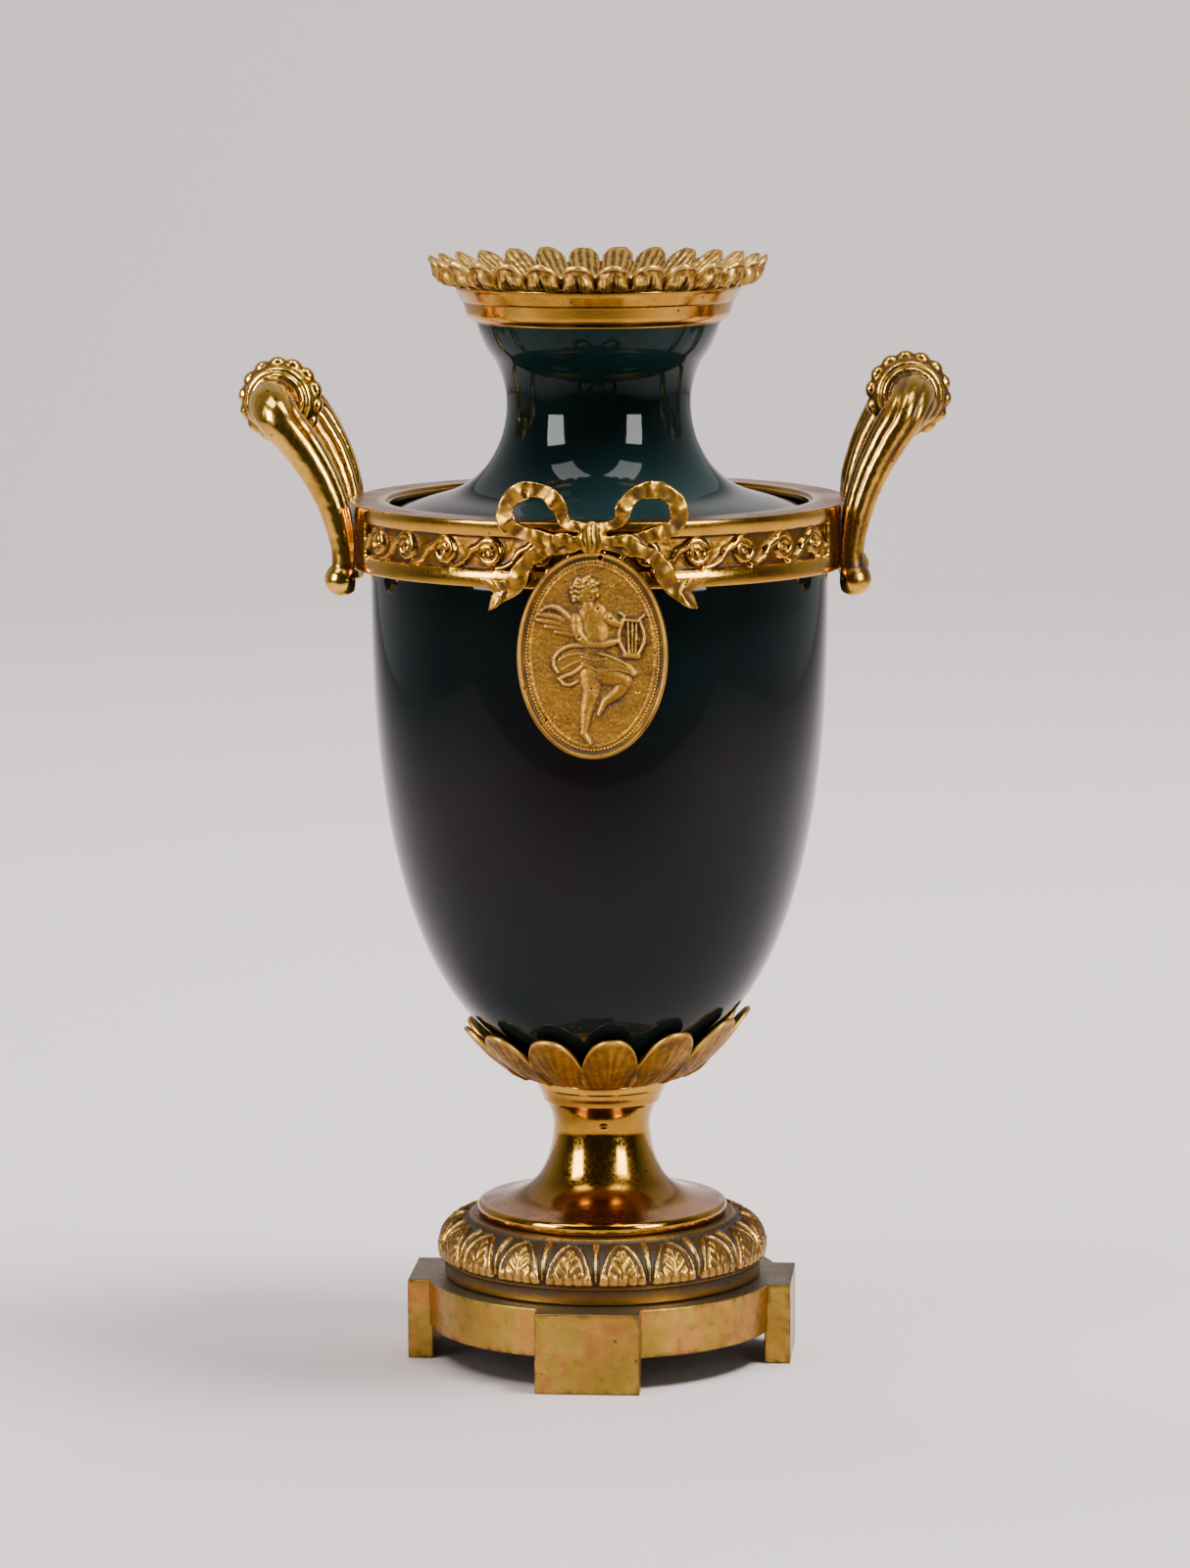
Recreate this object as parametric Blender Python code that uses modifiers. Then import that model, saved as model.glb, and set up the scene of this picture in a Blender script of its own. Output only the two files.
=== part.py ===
# A glazed porcelain urn in gilt-bronze mounts, in the neoclassical taste.
# Sizes below are in millimetres; MM turns them into metres where geometry is made.
# +Z is up, the origin is under the middle of the feet, and the front faces -Y.
# Azimuths are in degrees from the front, positive towards +X.

import math

import bmesh
import bpy
from mathutils import Matrix, Vector

MM = 0.001
GAP = 0.3  # clearance kept between two pieces that touch

# Glazed body
TURNED_SEGMENTS = 24
BODY_RADIUS = 57.5
BODY_SIDE_Z = 200.0  # where the side is widest
BODY_BOTTOM_Z = 75.0
BODY_FOOT_Z = 73.8
BODY_FOOT_RADIUS = 12.0
WALL = 3.5
FLOOR_THICKNESS = 4.5
NECK_RADIUS = 23.15
NECK_Z = 243.4
LIP_RADIUS = 31.9
LIP_Z = 271.2

# Mounts at the mouth
COLLAR_RADIUS = 36.1
COLLAR_TOP_Z = 273.0
COLLAR_FOOT_Z = 263.7
CROWN_LEAVES = 28
CROWN_TIP_RADIUS = 42.8
CROWN_TOP_Z = 280.0
CROWN_INNER_RADIUS = 30.9
CROWN_TIP_HALF = 0.22  # half the width of a leaf's tip, in pitches
CROWN_VALLEY_IN = 2.6  # how far the edge draws in between two leaves
CROWN_VALLEY_DOWN = 2.0
CROWN_PHASE = 7.0  # azimuth of one leaf's middle

# Band with the running scroll
BAND_RADIUS = 62.8
BAND_INNER_RADIUS = 58.1
BAND_FOOT_Z = 202.9
BAND_TOP_Z = 219.2
FLANGE_INNER_RADIUS = 52.7
FLANGE_FOOT_Z = 217.0
FRIEZE_FOOT_Z = 207.3
FRIEZE_TOP_Z = 215.2
FRIEZE_DEPTH = 1.5
FRIEZE_END = 66.0  # azimuth where the frieze meets the plain pad under a handle
PAD_SLOPE = 0.4  # degrees in which the pad rises from the frieze
SCROLL_PITCH = 12.0
SCROLLS_PER_FRIEZE = 11
SCROLL_RELIEF = 1.3
SCROLL_ROOT = 0.8  # how deep a wave is let into the ground it stands on
SCROLL_RADIUS = 3.0
EYE_RADIUS = 1.2

# Handles
LEG_SPREAD = 16.5  # half the distance between a handle's two legs
LEG_X = 63.2
LEG_FOOT_Z = 207.0
HANDLE_TOP_Z = 245.2
LEG_FOOT_RADIUS = 2.9
BAR_RADIUS = 5.5
LEAN_LEFT = 16.6
LEAN_RIGHT = 14.4
HANDLE_DROP_LEFT = 1.2  # the left handle is bent a little further out and down
TWIST_LEFT = 2.6  # how far the handles are twisted, near leg out and far leg in
TWIST_RIGHT = 1.6
REEDS = 5
REED_DEPTH = 0.08
BALL_RADIUS = 4.35
BALL_X = 63.8
BALL_Z = 200.5
COLLAR_BEADS = 14
BEAD_RING_RADIUS = 11.0

# Medallion and bow
OVAL_HALF_WIDTH = 18.3
OVAL_HALF_HEIGHT = 25.2
OVAL_Z = 187.1
OVAL_BACK_Y = BAND_RADIUS + GAP
OVAL_THICKNESS = 2.4
RELIEF_Y = OVAL_BACK_Y + 1.3
BOW_RADIUS = BAND_RADIUS + 1.9
KNOT_Z = 215.6

# Leaf cup under the body
CALYX_LEAVES = 13
CALYX_PHASE = 5.6
CALYX_FOOT_Z = 71.6
CALYX_FOOT_RADIUS = 16.6
CALYX_TIP_RADIUS = 36.2
CALYX_TIP_Z = 87.2
CALYX_THICKNESS = 1.6
CALYX_LEAN = 2.0  # the right-hand leaves are bent up by this much, the left-hand ones down
CALYX_SPREAD = 1.3  # and the right-hand ones out, the left-hand ones in
BOLT_HOLE_RADIUS = 4.0

# Stem
STEM_TOP_Z = CALYX_FOOT_Z - GAP
STEM_TOP_RADIUS = 16.5
STEM_WAIST_RADIUS = 12.25
STEM_WAIST_Z = 59.0
STEM_DISC_RADIUS = 31.9
STEM_FOOT_Z = 36.5

# Cushion with pointed leaves
TORUS_LEAVES = 19
TORUS_PHASE = 8.7
TORUS_TOP_Z = STEM_FOOT_Z - GAP
TORUS_RADIUS = 42.2
TORUS_FOOT_Z = 20.7
FILLET_RADIUS = 40.3
FILLET_TOP_Z = 24.3
LEAF_RELIEF = 1.3

# Base
PLATE_RADIUS = 45.1
PLATE_FOOT_Z = 8.0
PLATE_TOP_Z = TORUS_FOOT_Z - GAP
FOOT_REACH = 48.8
FOOT_WIDTH = 26.2
FOOT_THICKNESS = 6.6
FOOT_TOP_Z = PLATE_TOP_Z - 0.1
BASE_TURN = -3.1  # the base is screwed on a little askew

GLAZE = ((0.004, 0.022, 0.026), 0.06, 0.0)
GILT_CAST = ((0.62, 0.36, 0.10), 0.38, 1.0)
GILT_BRIGHT = ((0.72, 0.45, 0.14), 0.20, 1.0)


# ---------- helpers ----------

def clear_scene():
    for obj in list(bpy.data.objects):
        bpy.data.objects.remove(obj)


def make_collection(name):
    collection = bpy.data.collections.new(name)
    bpy.context.scene.collection.children.link(collection)
    return collection


def make_material(name, look):
    color, roughness, metallic = look
    material = bpy.data.materials.new(name)
    material.use_nodes = True
    shader = material.node_tree.nodes["Principled BSDF"]
    shader.inputs["Base Color"].default_value = (*color, 1.0)
    shader.inputs["Roughness"].default_value = roughness
    shader.inputs["Metallic"].default_value = metallic
    return material


def make_object(name, data):
    obj = bpy.data.objects.new(name, data)
    parts.objects.link(obj)
    return obj


def from_bmesh(name, bm):
    bmesh.ops.recalc_face_normals(bm, faces=bm.faces)
    mesh = bpy.data.meshes.new(name)
    bm.to_mesh(mesh)
    bm.free()
    return make_object(name, mesh)


def bake(obj):
    """Replaces an object by a mesh object with its modifiers or curve settings applied."""
    bpy.context.view_layer.update()
    depsgraph = bpy.context.evaluated_depsgraph_get()
    mesh = bpy.data.meshes.new_from_object(obj.evaluated_get(depsgraph))
    bm = bmesh.new()
    bm.from_mesh(mesh)
    bmesh.ops.remove_doubles(bm, verts=bm.verts, dist=0.000005)
    bmesh.ops.recalc_face_normals(bm, faces=bm.faces)
    bm.to_mesh(mesh)
    bm.free()
    name = obj.name
    matrix = obj.matrix_world.copy()
    bpy.data.objects.remove(obj)
    solid = make_object(name, mesh)
    solid.matrix_world = matrix
    return solid


def combine(target, tool, operation):
    modifier = target.modifiers.new(operation.lower(), "BOOLEAN")
    modifier.operation = operation
    modifier.object = tool
    result = bake(target)
    bpy.data.objects.remove(tool)
    return result


def join_all(pieces):
    result = pieces[0]
    for piece in pieces[1:]:
        result = combine(result, piece, "UNION")
    return result


def finish(obj, look, sharp_degrees=35.0):
    obj.data.materials.clear()
    obj.data.materials.append(make_material(obj.name, look))
    obj.data.shade_smooth()
    obj.data.set_sharp_from_angle(angle=math.radians(sharp_degrees))
    return obj


def profile(*points):
    return [Vector(point) for point in points]


def inset(outline, distance):
    """Moves each point of a profile that runs down its outer side inwards by distance."""
    moved = []
    for index, point in enumerate(outline):
        before = outline[max(index - 1, 0)]
        after = outline[min(index + 1, len(outline) - 1)]
        along = (after - before).normalized()
        moved.append(point + Vector((along.y, -along.x)) * distance)
    return moved


def lathe(name, outline, closed=True, segments=TURNED_SEGMENTS):
    """Turns (radius, z) points round Z; the outline runs down its outer side."""
    mesh = bpy.data.meshes.new(name)
    edges = [(i, i + 1) for i in range(len(outline) - 1)]
    if closed:
        edges.append((len(outline) - 1, 0))
    mesh.from_pydata([(p.x * MM, 0.0, p.y * MM) for p in outline], edges, [])
    obj = make_object(name, mesh)
    screw = obj.modifiers.new("turn", "SCREW")
    screw.steps = segments
    screw.render_steps = segments
    screw.use_merge_vertices = True
    screw.merge_threshold = 0.00001
    return bake(obj)


def around(radius, azimuth, z):
    angle = math.radians(azimuth)
    return Vector((radius * math.sin(angle), -radius * math.cos(angle), z))


def loft_ring(name, section_at, azimuths):
    """Joins closed sections of (radius, z, turn) points set round Z; turn shifts the azimuth."""
    bm = bmesh.new()
    rings = []
    for azimuth in azimuths:
        points = [around(r, azimuth + turn, z) * MM for r, z, turn in section_at(azimuth)]
        rings.append([bm.verts.new(point) for point in points])
    for ring, following in zip(rings, rings[1:] + rings[:1]):
        count = len(ring)
        for i in range(count):
            j = (i + 1) % count
            bm.faces.new((ring[i], ring[j], following[j], following[i]))
    return from_bmesh(name, bm)


def ball(name, centre, radii, segments=8, rings=6, matrix=None):
    """A sphere stretched to three radii, turned by matrix and set at centre."""
    bm = bmesh.new()
    bmesh.ops.create_uvsphere(bm, u_segments=segments, v_segments=rings, radius=1.0)
    scale = Matrix.Diagonal((*[r * MM for r in radii], 1.0))
    turn = (matrix or Matrix.Identity(3)).to_4x4()
    bmesh.ops.transform(bm, matrix=Matrix.Translation(Vector(centre) * MM) @ turn @ scale, verts=bm.verts)
    return from_bmesh(name, bm)


def sweep(name, path, radii, outline, tilts=None):
    """Runs a closed flat outline along a path; radii scale it and tilts turn it at each point."""
    section_data = bpy.data.curves.new(name + "_section", "CURVE")
    section_spline = section_data.splines.new("POLY")
    section_spline.points.add(len(outline) - 1)
    for point, (x, y) in zip(section_spline.points, outline):
        point.co = (x * MM, y * MM, 0.0, 1.0)
    section_spline.use_cyclic_u = True
    section = make_object(name + "_section", section_data)
    data = bpy.data.curves.new(name, "CURVE")
    data.dimensions = "3D"
    spline = data.splines.new("POLY")
    spline.points.add(len(path) - 1)
    for index, (point, place, radius) in enumerate(zip(spline.points, path, radii)):
        point.co = (*(place * MM), 1.0)
        point.radius = radius
        point.tilt = tilts[index] if tilts else 0.0
    data.bevel_mode = "OBJECT"
    data.bevel_object = section
    data.use_fill_caps = True
    swept = bake(make_object(name, data))
    bpy.data.objects.remove(section)
    return swept


def flat_plate(name, outline, depth_low, depth_high):
    """A filled flat outline in X and Y, thick along Z, made as a 2D curve."""
    data = bpy.data.curves.new(name, "CURVE")
    data.dimensions = "2D"
    data.fill_mode = "BOTH"
    data.extrude = (depth_high - depth_low) / 2 * MM
    spline = data.splines.new("POLY")
    spline.points.add(len(outline) - 1)
    for point, (x, y) in zip(spline.points, outline):
        point.co = (x * MM, y * MM, 0.0, 1.0)
    spline.use_cyclic_u = True
    obj = make_object(name, data)
    obj.location.z = (depth_low + depth_high) / 2 * MM
    plate = bake(obj)
    plate.data.transform(plate.matrix_world)
    plate.matrix_world = Matrix.Identity(4)
    return plate


# ---------- glazed body ----------

def body_side_radius(z):
    depth = (BODY_SIDE_Z - z) / (BODY_SIDE_Z - BODY_BOTTOM_Z)
    return BODY_RADIUS * (1.0 - max(depth, 0.0) ** 2.5) ** 0.38


def make_vase_body():
    neck = profile(
        (LIP_RADIUS, LIP_Z), (30.5, 263.4), (28.3, 257.6), (25.4, 253.0), (NECK_RADIUS, NECK_Z),
        (25.0, 233.2), (29.0, 226.7), (35.2, 222.0), (45.5, 218.4), (51.6, 216.4), (55.8, 210.0),
    )
    heights = (BODY_SIDE_Z, 176.0, 154.0, 134.0, 117.0, 103.0, 92.0, 84.0, 78.0)
    side = [Vector((body_side_radius(z), z)) for z in heights]
    outer = neck + side + profile((BODY_FOOT_RADIUS, BODY_FOOT_Z), (0.0, BODY_FOOT_Z))
    inner_neck = inset([neck[0]] + neck[3:8] + [neck[9]], WALL)
    inner_side = [Vector((body_side_radius(z) - WALL, z)) for z in (200.0, 150.0, 118.0, 96.0)]
    floor = profile((body_side_radius(82.0) - WALL, 84.0), (0.0, BODY_FOOT_Z + FLOOR_THICKNESS))
    lip = profile((LIP_RADIUS - WALL / 2, LIP_Z + 0.5))
    inner = inner_neck + inner_side + floor
    return finish(lathe("vase_body", inner[::-1] + lip + outer, closed=False), GLAZE, 60.0)


# ---------- mouth mounts ----------

def make_rim_collar():
    outline = profile(
        (COLLAR_RADIUS, COLLAR_TOP_Z), (35.0, 270.6), (33.7, 268.8), (33.1, 267.4), (32.9, 265.6),
        (32.1, 264.4), (31.3, COLLAR_FOOT_Z), (30.95, COLLAR_FOOT_Z), (32.7, 272.0),
    )
    return finish(lathe("rim_collar", outline), GILT_BRIGHT)


def crown_section(azimuth):
    phase = (azimuth - CROWN_PHASE) / (360.0 / CROWN_LEAVES)
    beside = max(abs(phase - round(phase)) - CROWN_TIP_HALF, 0.0) / (0.5 - CROWN_TIP_HALF)
    radius = CROWN_TIP_RADIUS - CROWN_VALLEY_IN * beside  # beside is 0 along a tip and 1 between leaves
    top = CROWN_TOP_Z - CROWN_VALLEY_DOWN * beside
    return [
        (radius, top, 0.0), (radius - 0.4, top - 3.4, 0.0), (39.2, 273.6, 0.0),
        (COLLAR_RADIUS + 0.8, COLLAR_TOP_Z + 0.5, 0.0), (CROWN_INNER_RADIUS, 271.9, 0.0),
        (CROWN_INNER_RADIUS, 272.9, 0.0),
    ]


def make_leaf_crown():
    pitch = 360.0 / CROWN_LEAVES
    offsets = (-0.5, -CROWN_TIP_HALF, CROWN_TIP_HALF)
    azimuths = [CROWN_PHASE + pitch * (leaf + offset) for leaf in range(CROWN_LEAVES) for offset in offsets]
    return finish(loft_ring("leaf_crown", crown_section, azimuths), GILT_CAST)


# ---------- band with the running scroll ----------

def band_section(azimuth):
    from_front = min(azimuth % 180.0, 180.0 - azimuth % 180.0)
    ground = BAND_RADIUS - (FRIEZE_DEPTH if from_front <= FRIEZE_END + 0.01 else 0.0)
    points = (
        (BAND_RADIUS, BAND_TOP_Z), (BAND_RADIUS, FRIEZE_TOP_Z), (ground, FRIEZE_TOP_Z - 0.3),
        (ground, FRIEZE_FOOT_Z + 0.3), (BAND_RADIUS, FRIEZE_FOOT_Z), (BAND_RADIUS, BAND_FOOT_Z),
        (BAND_INNER_RADIUS, BAND_FOOT_Z), (BAND_INNER_RADIUS, FLANGE_FOOT_Z),
        (FLANGE_INNER_RADIUS, FLANGE_FOOT_Z), (FLANGE_INNER_RADIUS, BAND_TOP_Z),
    )
    return [(r, z, 0.0) for r, z in points]


def scroll_outline():
    """One wave: a tail rises from the left, turns clockwise and closes on the eye in its middle."""
    line = [Vector((-7.8, -3.2)), Vector((-4.4, -2.2))]
    halves = [0.3, 0.5]
    turns = 4
    for step in range(turns):
        share = step / (turns - 1)
        angle = math.radians(152.0 - 212.0 * share)
        radius = SCROLL_RADIUS * (1.10 - 0.22 * share)
        line.append(Vector((radius * math.cos(angle), radius * math.sin(angle))))
        halves.append(0.62 - 0.12 * share)
    line.append(Vector((-0.2, -0.4)))
    halves.append(EYE_RADIUS)
    upper = []
    lower = []
    for index, (point, half) in enumerate(zip(line, halves)):
        along = line[min(index + 1, len(line) - 1)] - line[max(index - 1, 0)]
        across = Vector((-along.y, along.x)).normalized()
        upper.append(point + across * half)
        lower.append(point - across * half)
    return upper + lower[::-1]


def wrap_on_band(plate, azimuth):
    """Bends a flat relief, drawn in X and Y with its height along Z, round the band."""
    middle_z = (FRIEZE_FOOT_Z + FRIEZE_TOP_Z) / 2
    for vertex in plate.data.vertices:
        x, y, height = vertex.co / MM
        turned = azimuth + math.degrees(x / BAND_RADIUS)
        vertex.co = around(BAND_RADIUS - FRIEZE_DEPTH + height, turned, middle_z + y) * MM
    return plate


def make_shoulder_band():
    pad_edges = [side + sign * (FRIEZE_END + PAD_SLOPE) for side in (0.0, 180.0) for sign in (-1, 1)]
    steps = [SCROLL_PITCH * (step + 0.5) for step in range(round(360.0 / SCROLL_PITCH))]
    azimuths = sorted(azimuth % 360.0 for azimuth in pad_edges + steps)
    band = loft_ring("shoulder_band", band_section, azimuths)
    waves = []
    for side in (0.0, 180.0):
        for index in range(SCROLLS_PER_FRIEZE):
            azimuth = side + SCROLL_PITCH * (index - (SCROLLS_PER_FRIEZE - 1) / 2)
            wave = flat_plate("wave", scroll_outline(), -SCROLL_ROOT, SCROLL_RELIEF)
            waves.append(wrap_on_band(wave, azimuth))
    relief = bmesh.new()
    for wave in waves:
        relief.from_mesh(wave.data)
        bpy.data.objects.remove(wave)
    band = combine(band, from_bmesh("relief", relief), "UNION")
    return finish(band, GILT_BRIGHT, 75.0)


# ---------- handles ----------

def leg_axis(lean, drop, z):
    rise = (z - LEG_FOOT_Z) / (HANDLE_TOP_Z - LEG_FOOT_Z)
    return LEG_X + lean * max(rise, 0.0) ** 2, z - drop * max(rise, 0.0) ** 2


def handle_path(side, lean, drop, twist):
    """The bail, from one ball up the leg, round the elbows and the bar, and down the other leg."""
    half = []
    for z in (202.0, 209.0, 219.0, 228.0, 236.0):
        x, height = leg_axis(lean, drop, z)
        half.append(Vector((x, -LEG_SPREAD, height)))
    elbow_x, elbow_z = leg_axis(lean, drop, 242.0)
    top_x, top_z = leg_axis(lean, drop, HANDLE_TOP_Z)
    half.append(Vector((elbow_x, -15.6, elbow_z)))
    half.append(Vector((top_x - 0.2, -11.4, top_z - 0.3)))
    half.append(Vector((top_x, -5.0, top_z)))
    path = []
    for p in half + [Vector((p.x, -p.y, p.z)) for p in reversed(half)]:
        rise = max((p.z - LEG_FOOT_Z) / (HANDLE_TOP_Z - LEG_FOOT_Z), 0.0)
        path.append(Vector((side * (p.x - twist * rise * p.y / LEG_SPREAD), p.y, p.z)))
    return path


def reeded_outline():
    points = []
    for index in range(REEDS * 2):
        radius = 1.0 + (REED_DEPTH if index % 2 == 0 else -REED_DEPTH)
        angle = math.tau * index / (REEDS * 2)
        points.append((radius * math.cos(angle), radius * math.sin(angle)))
    return points


def beaded_collar(name, centre, turn):
    """The ring of beads between two mouldings that clasps the middle of the bar."""
    def section(azimuth):
        is_bead = round(azimuth / (180.0 / COLLAR_BEADS)) % 2 == 0
        bead = BEAD_RING_RADIUS if is_bead else BEAD_RING_RADIUS - 1.3
        points = ((7.8, -4.1), (8.8, -1.6), (bead, 0.0), (8.8, 1.6), (7.8, 4.1), (3.0, 0.0))
        return [(r, z, 0.0) for r, z in points]
    steps = COLLAR_BEADS * 2
    ring = loft_ring(name, section, [360.0 * step / steps for step in range(steps)])
    along_bar = Matrix.Rotation(turn, 4, "Z") @ Matrix.Rotation(math.pi / 2, 4, "X")
    ring.data.transform(Matrix.Translation(centre * MM) @ along_bar)
    return ring


def make_handle(name, side, lean, drop, twist, cutter):
    path = handle_path(side, lean, drop, twist)
    rise = [(p.z - LEG_FOOT_Z) / (HANDLE_TOP_Z - LEG_FOOT_Z) for p in path]
    radii = [LEG_FOOT_RADIUS + (BAR_RADIUS - LEG_FOOT_RADIUS) * min(max(r, 0.0), 1.0) for r in rise]
    tilts = [0.5 * side * (index / (len(path) - 1) - 0.5) for index in range(len(path))]
    bail = sweep(name, path, radii, reeded_outline(), tilts)
    top_x, top_z = leg_axis(lean, drop, HANDLE_TOP_Z)
    turn = side * math.atan(twist / LEG_SPREAD)
    pieces = [bail, beaded_collar(name + "_beads", Vector((side * top_x, 0.0, top_z)), turn)]
    for leg in (-1, 1):
        centre = (side * BALL_X, leg * LEG_SPREAD, BALL_Z)
        pieces.append(ball(name + "_ball", centre, (BALL_RADIUS,) * 3, 8, 6))
    handle = join_all(pieces)
    cut = handle.modifiers.new("band_clearance", "BOOLEAN")
    cut.operation = "DIFFERENCE"
    cut.object = cutter
    return finish(handle, GILT_CAST, 50.0)


def make_band_cutter():
    """The space of the band with its gap, well past its top and foot."""
    radius = BAND_RADIUS + GAP
    top = BAND_TOP_Z + 6.8
    foot = BAND_FOOT_Z - 12.9
    outline = profile((0.0, top), (radius, top), (radius, foot), (0.0, foot))
    cutter = lathe("band_clearance_cutter", outline, closed=False, segments=60)
    parts.objects.unlink(cutter)
    cutters.objects.link(cutter)
    cutter.hide_render = True
    cutter.display_type = "WIRE"
    return cutter


# ---------- medallion and bow ----------

def make_oval():
    """The plaque: a flat oval with a rounded rim, turned, stretched and stood up to face -Y."""
    outline = profile(
        (0.0, 1.3), (0.88, 1.3), (0.92, OVAL_THICKNESS - 0.1), (0.97, OVAL_THICKNESS), (1.0, 1.2),
        (1.0, 0.0), (0.0, 0.0),
    )
    oval = lathe("medallion", outline, closed=False, segments=32)
    place = Vector((0.0, -OVAL_BACK_Y, OVAL_Z)) * MM
    stand = Matrix.Translation(place) @ Matrix.Rotation(math.pi / 2, 4, "X")
    oval.data.transform(stand @ Matrix.Diagonal((OVAL_HALF_WIDTH, OVAL_HALF_HEIGHT, 1.0, 1.0)))
    return oval


def limb(start, end, thickness, relief):
    """A stretched ball between two points of the relief, given from the middle of the oval."""
    a = Vector(start)
    b = Vector(end)
    middle = (a + b) / 2
    length = (b - a).length / 2 + thickness * 0.6
    turn = Matrix.Rotation(-math.atan2(b.y - a.y, b.x - a.x), 3, "Y")
    centre = (middle.x, -RELIEF_Y, OVAL_Z + middle.y)
    return ball("limb", centre, (length, relief, thickness), 6, 4, turn)


def make_figure():
    """A winged child who plays a lyre, as stretched balls and bars."""
    return [
        limb((-0.8, 16.4), (-0.6, 17.2), 2.2, 1.5),        # head
        limb((-0.6, 11.0), (-0.2, 2.5), 3.2, 1.3),         # trunk
        limb((-3.6, 9.8), (-1.6, 3.2), 1.3, 1.6),          # upper arm
        limb((-1.4, 2.8), (5.0, 3.4), 1.1, 1.6),           # forearm
        limb((-4.0, 7.0), (-12.0, 10.4), 2.3, 0.8),        # wing
        limb((0.0, -1.8), (-0.4, -9.6), 2.5, 1.2),         # standing thigh
        limb((-0.4, -9.8), (-1.5, -19.4), 1.5, 1.0),       # standing shin
        limb((1.0, -2.4), (7.2, -7.0), 2.4, 1.3),          # bent thigh
        limb((7.0, -7.6), (1.4, -13.2), 1.4, 1.1),         # bent shin
        limb((-9.6, -1.6), (-2.0, -1.0), 2.6, 0.9),        # blown drapery
        limb((2.0, -3.0), (9.6, -4.4), 1.8, 0.8),          # drapery over the knee
        limb((6.6, 10.0), (6.8, -0.4), 0.9, 1.1),          # lyre arm
        limb((11.2, 10.0), (10.6, -0.4), 0.9, 1.1),        # lyre arm
        limb((6.6, -0.2), (10.8, -0.2), 1.0, 1.1),         # lyre base
    ]


def on_bow(x, z, lift=0.0):
    radius = BOW_RADIUS + lift
    return Vector((x, -math.sqrt(radius * radius - x * x), z))


def ribbon(name, points, widths, depth):
    """A crinkled strip of four-sided section along points that lie round the band."""
    outline = [(depth, 1.0), (-depth, 1.0), (-depth, -1.0), (depth, -1.0)]
    return sweep(name, points, widths, outline)


def make_bow():
    pieces = [ball("knot", on_bow(0.0, KNOT_Z), (3.1, 1.4, 4.3), 8, 6)]
    for side in (-1, 1):
        loop = [on_bow(side * x, z) for x, z in (
            (1.5, 218.2), (6.4, 219.4), (8.0, 223.4), (11.2, 226.6), (16.6, 227.0), (20.6, 223.6),
            (20.4, 218.6), (12.4, 215.7), (2.0, 214.8))]
        widths = (1.1, 1.5, 1.9, 1.9, 2.1, 2.1, 2.1, 1.6, 1.1)
        pieces.append(ribbon("loop", loop, widths, 0.6))
        tail = [on_bow(side * x, z, -0.2) for x, z in (
            (1.0, 215.4), (7.0, 213.4), (12.4, 212.2), (16.6, 208.6), (19.4, 203.6), (26.6, 201.4))]
        pieces.append(ribbon("tail", tail, (1.2, 1.9, 1.5, 2.2, 2.4, 3.9), 0.3))
    return pieces


def make_medallion(cutter):
    medallion = join_all([make_oval()] + make_figure() + make_bow())
    cut = medallion.modifiers.new("band_clearance", "BOOLEAN")
    cut.operation = "DIFFERENCE"
    cut.object = cutter
    return finish(medallion, GILT_CAST, 50.0)


# ---------- leaf cup ----------

def calyx_curve(share):
    """Underside of a leaf from the ring (share 0) to its tip (share 1)."""
    radius = CALYX_FOOT_RADIUS + (CALYX_TIP_RADIUS - CALYX_FOOT_RADIUS) * share ** 0.70
    height = CALYX_FOOT_Z + (CALYX_TIP_Z - CALYX_FOOT_Z) * share ** 1.37
    return Vector((radius, height))


def calyx_section(azimuth):
    phase = (azimuth - CALYX_PHASE) / (360.0 / CALYX_LEAVES)
    off_middle = abs(phase - round(phase)) * 2.0
    reach = 1.0 - 0.46 * off_middle ** 2.6
    bulge = 0.4 - 0.9 * off_middle ** 2
    to_right = math.sin(math.radians(azimuth))
    outer = []
    inner = []
    for share in (0.0, 0.5 * reach, reach):
        point = calyx_curve(share)
        along = (calyx_curve(share + 0.02) - point).normalized()
        out = Vector((along.y, -along.x))
        thickness = CALYX_THICKNESS * (1.0 - 0.35 * share)
        bent = Vector((CALYX_SPREAD * to_right * share ** 0.7, CALYX_LEAN * to_right * share ** 2))
        raised = point + out * bulge * share + bent
        outer.append(raised)
        inner.append(raised - out * thickness)
    ring = profile((BOLT_HOLE_RADIUS, CALYX_FOOT_Z + CALYX_THICKNESS), (BOLT_HOLE_RADIUS, CALYX_FOOT_Z))
    return [(p.x, p.y, 0.0) for p in outer[::-1] + ring[::-1] + inner]


def make_leaf_calyx():
    pitch = 360.0 / CALYX_LEAVES
    offsets = (-0.5, -0.25, 0.0, 0.25)
    azimuths = [CALYX_PHASE + pitch * (leaf + offset) for leaf in range(CALYX_LEAVES) for offset in offsets]
    return finish(loft_ring("leaf_calyx", calyx_section, azimuths), GILT_CAST)


# ---------- stem ----------

def make_stem():
    outline = profile(
        (0.0, STEM_TOP_Z), (STEM_TOP_RADIUS, STEM_TOP_Z), (STEM_TOP_RADIUS, 69.2), (15.2, 66.3),
        (13.5, 64.2), (STEM_WAIST_RADIUS, STEM_WAIST_Z), (12.9, 54.0), (14.1, 49.6), (16.6, 45.2),
        (21.5, 41.7), (29.6, 39.7), (STEM_DISC_RADIUS, 38.4), (31.6, STEM_FOOT_Z), (0.0, STEM_FOOT_Z),
    )
    return finish(lathe("stem", outline, closed=False), GILT_BRIGHT, 40.0)


# ---------- cushion with pointed leaves ----------

def arch_half_width(share):
    """Half-width of a pointed leaf, in pitches, from its foot (share 0) to its tip (share 1)."""
    return 0.40 * math.sqrt(max(1.0 - share ** 1.7, 0.0)) + 0.02


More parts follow.
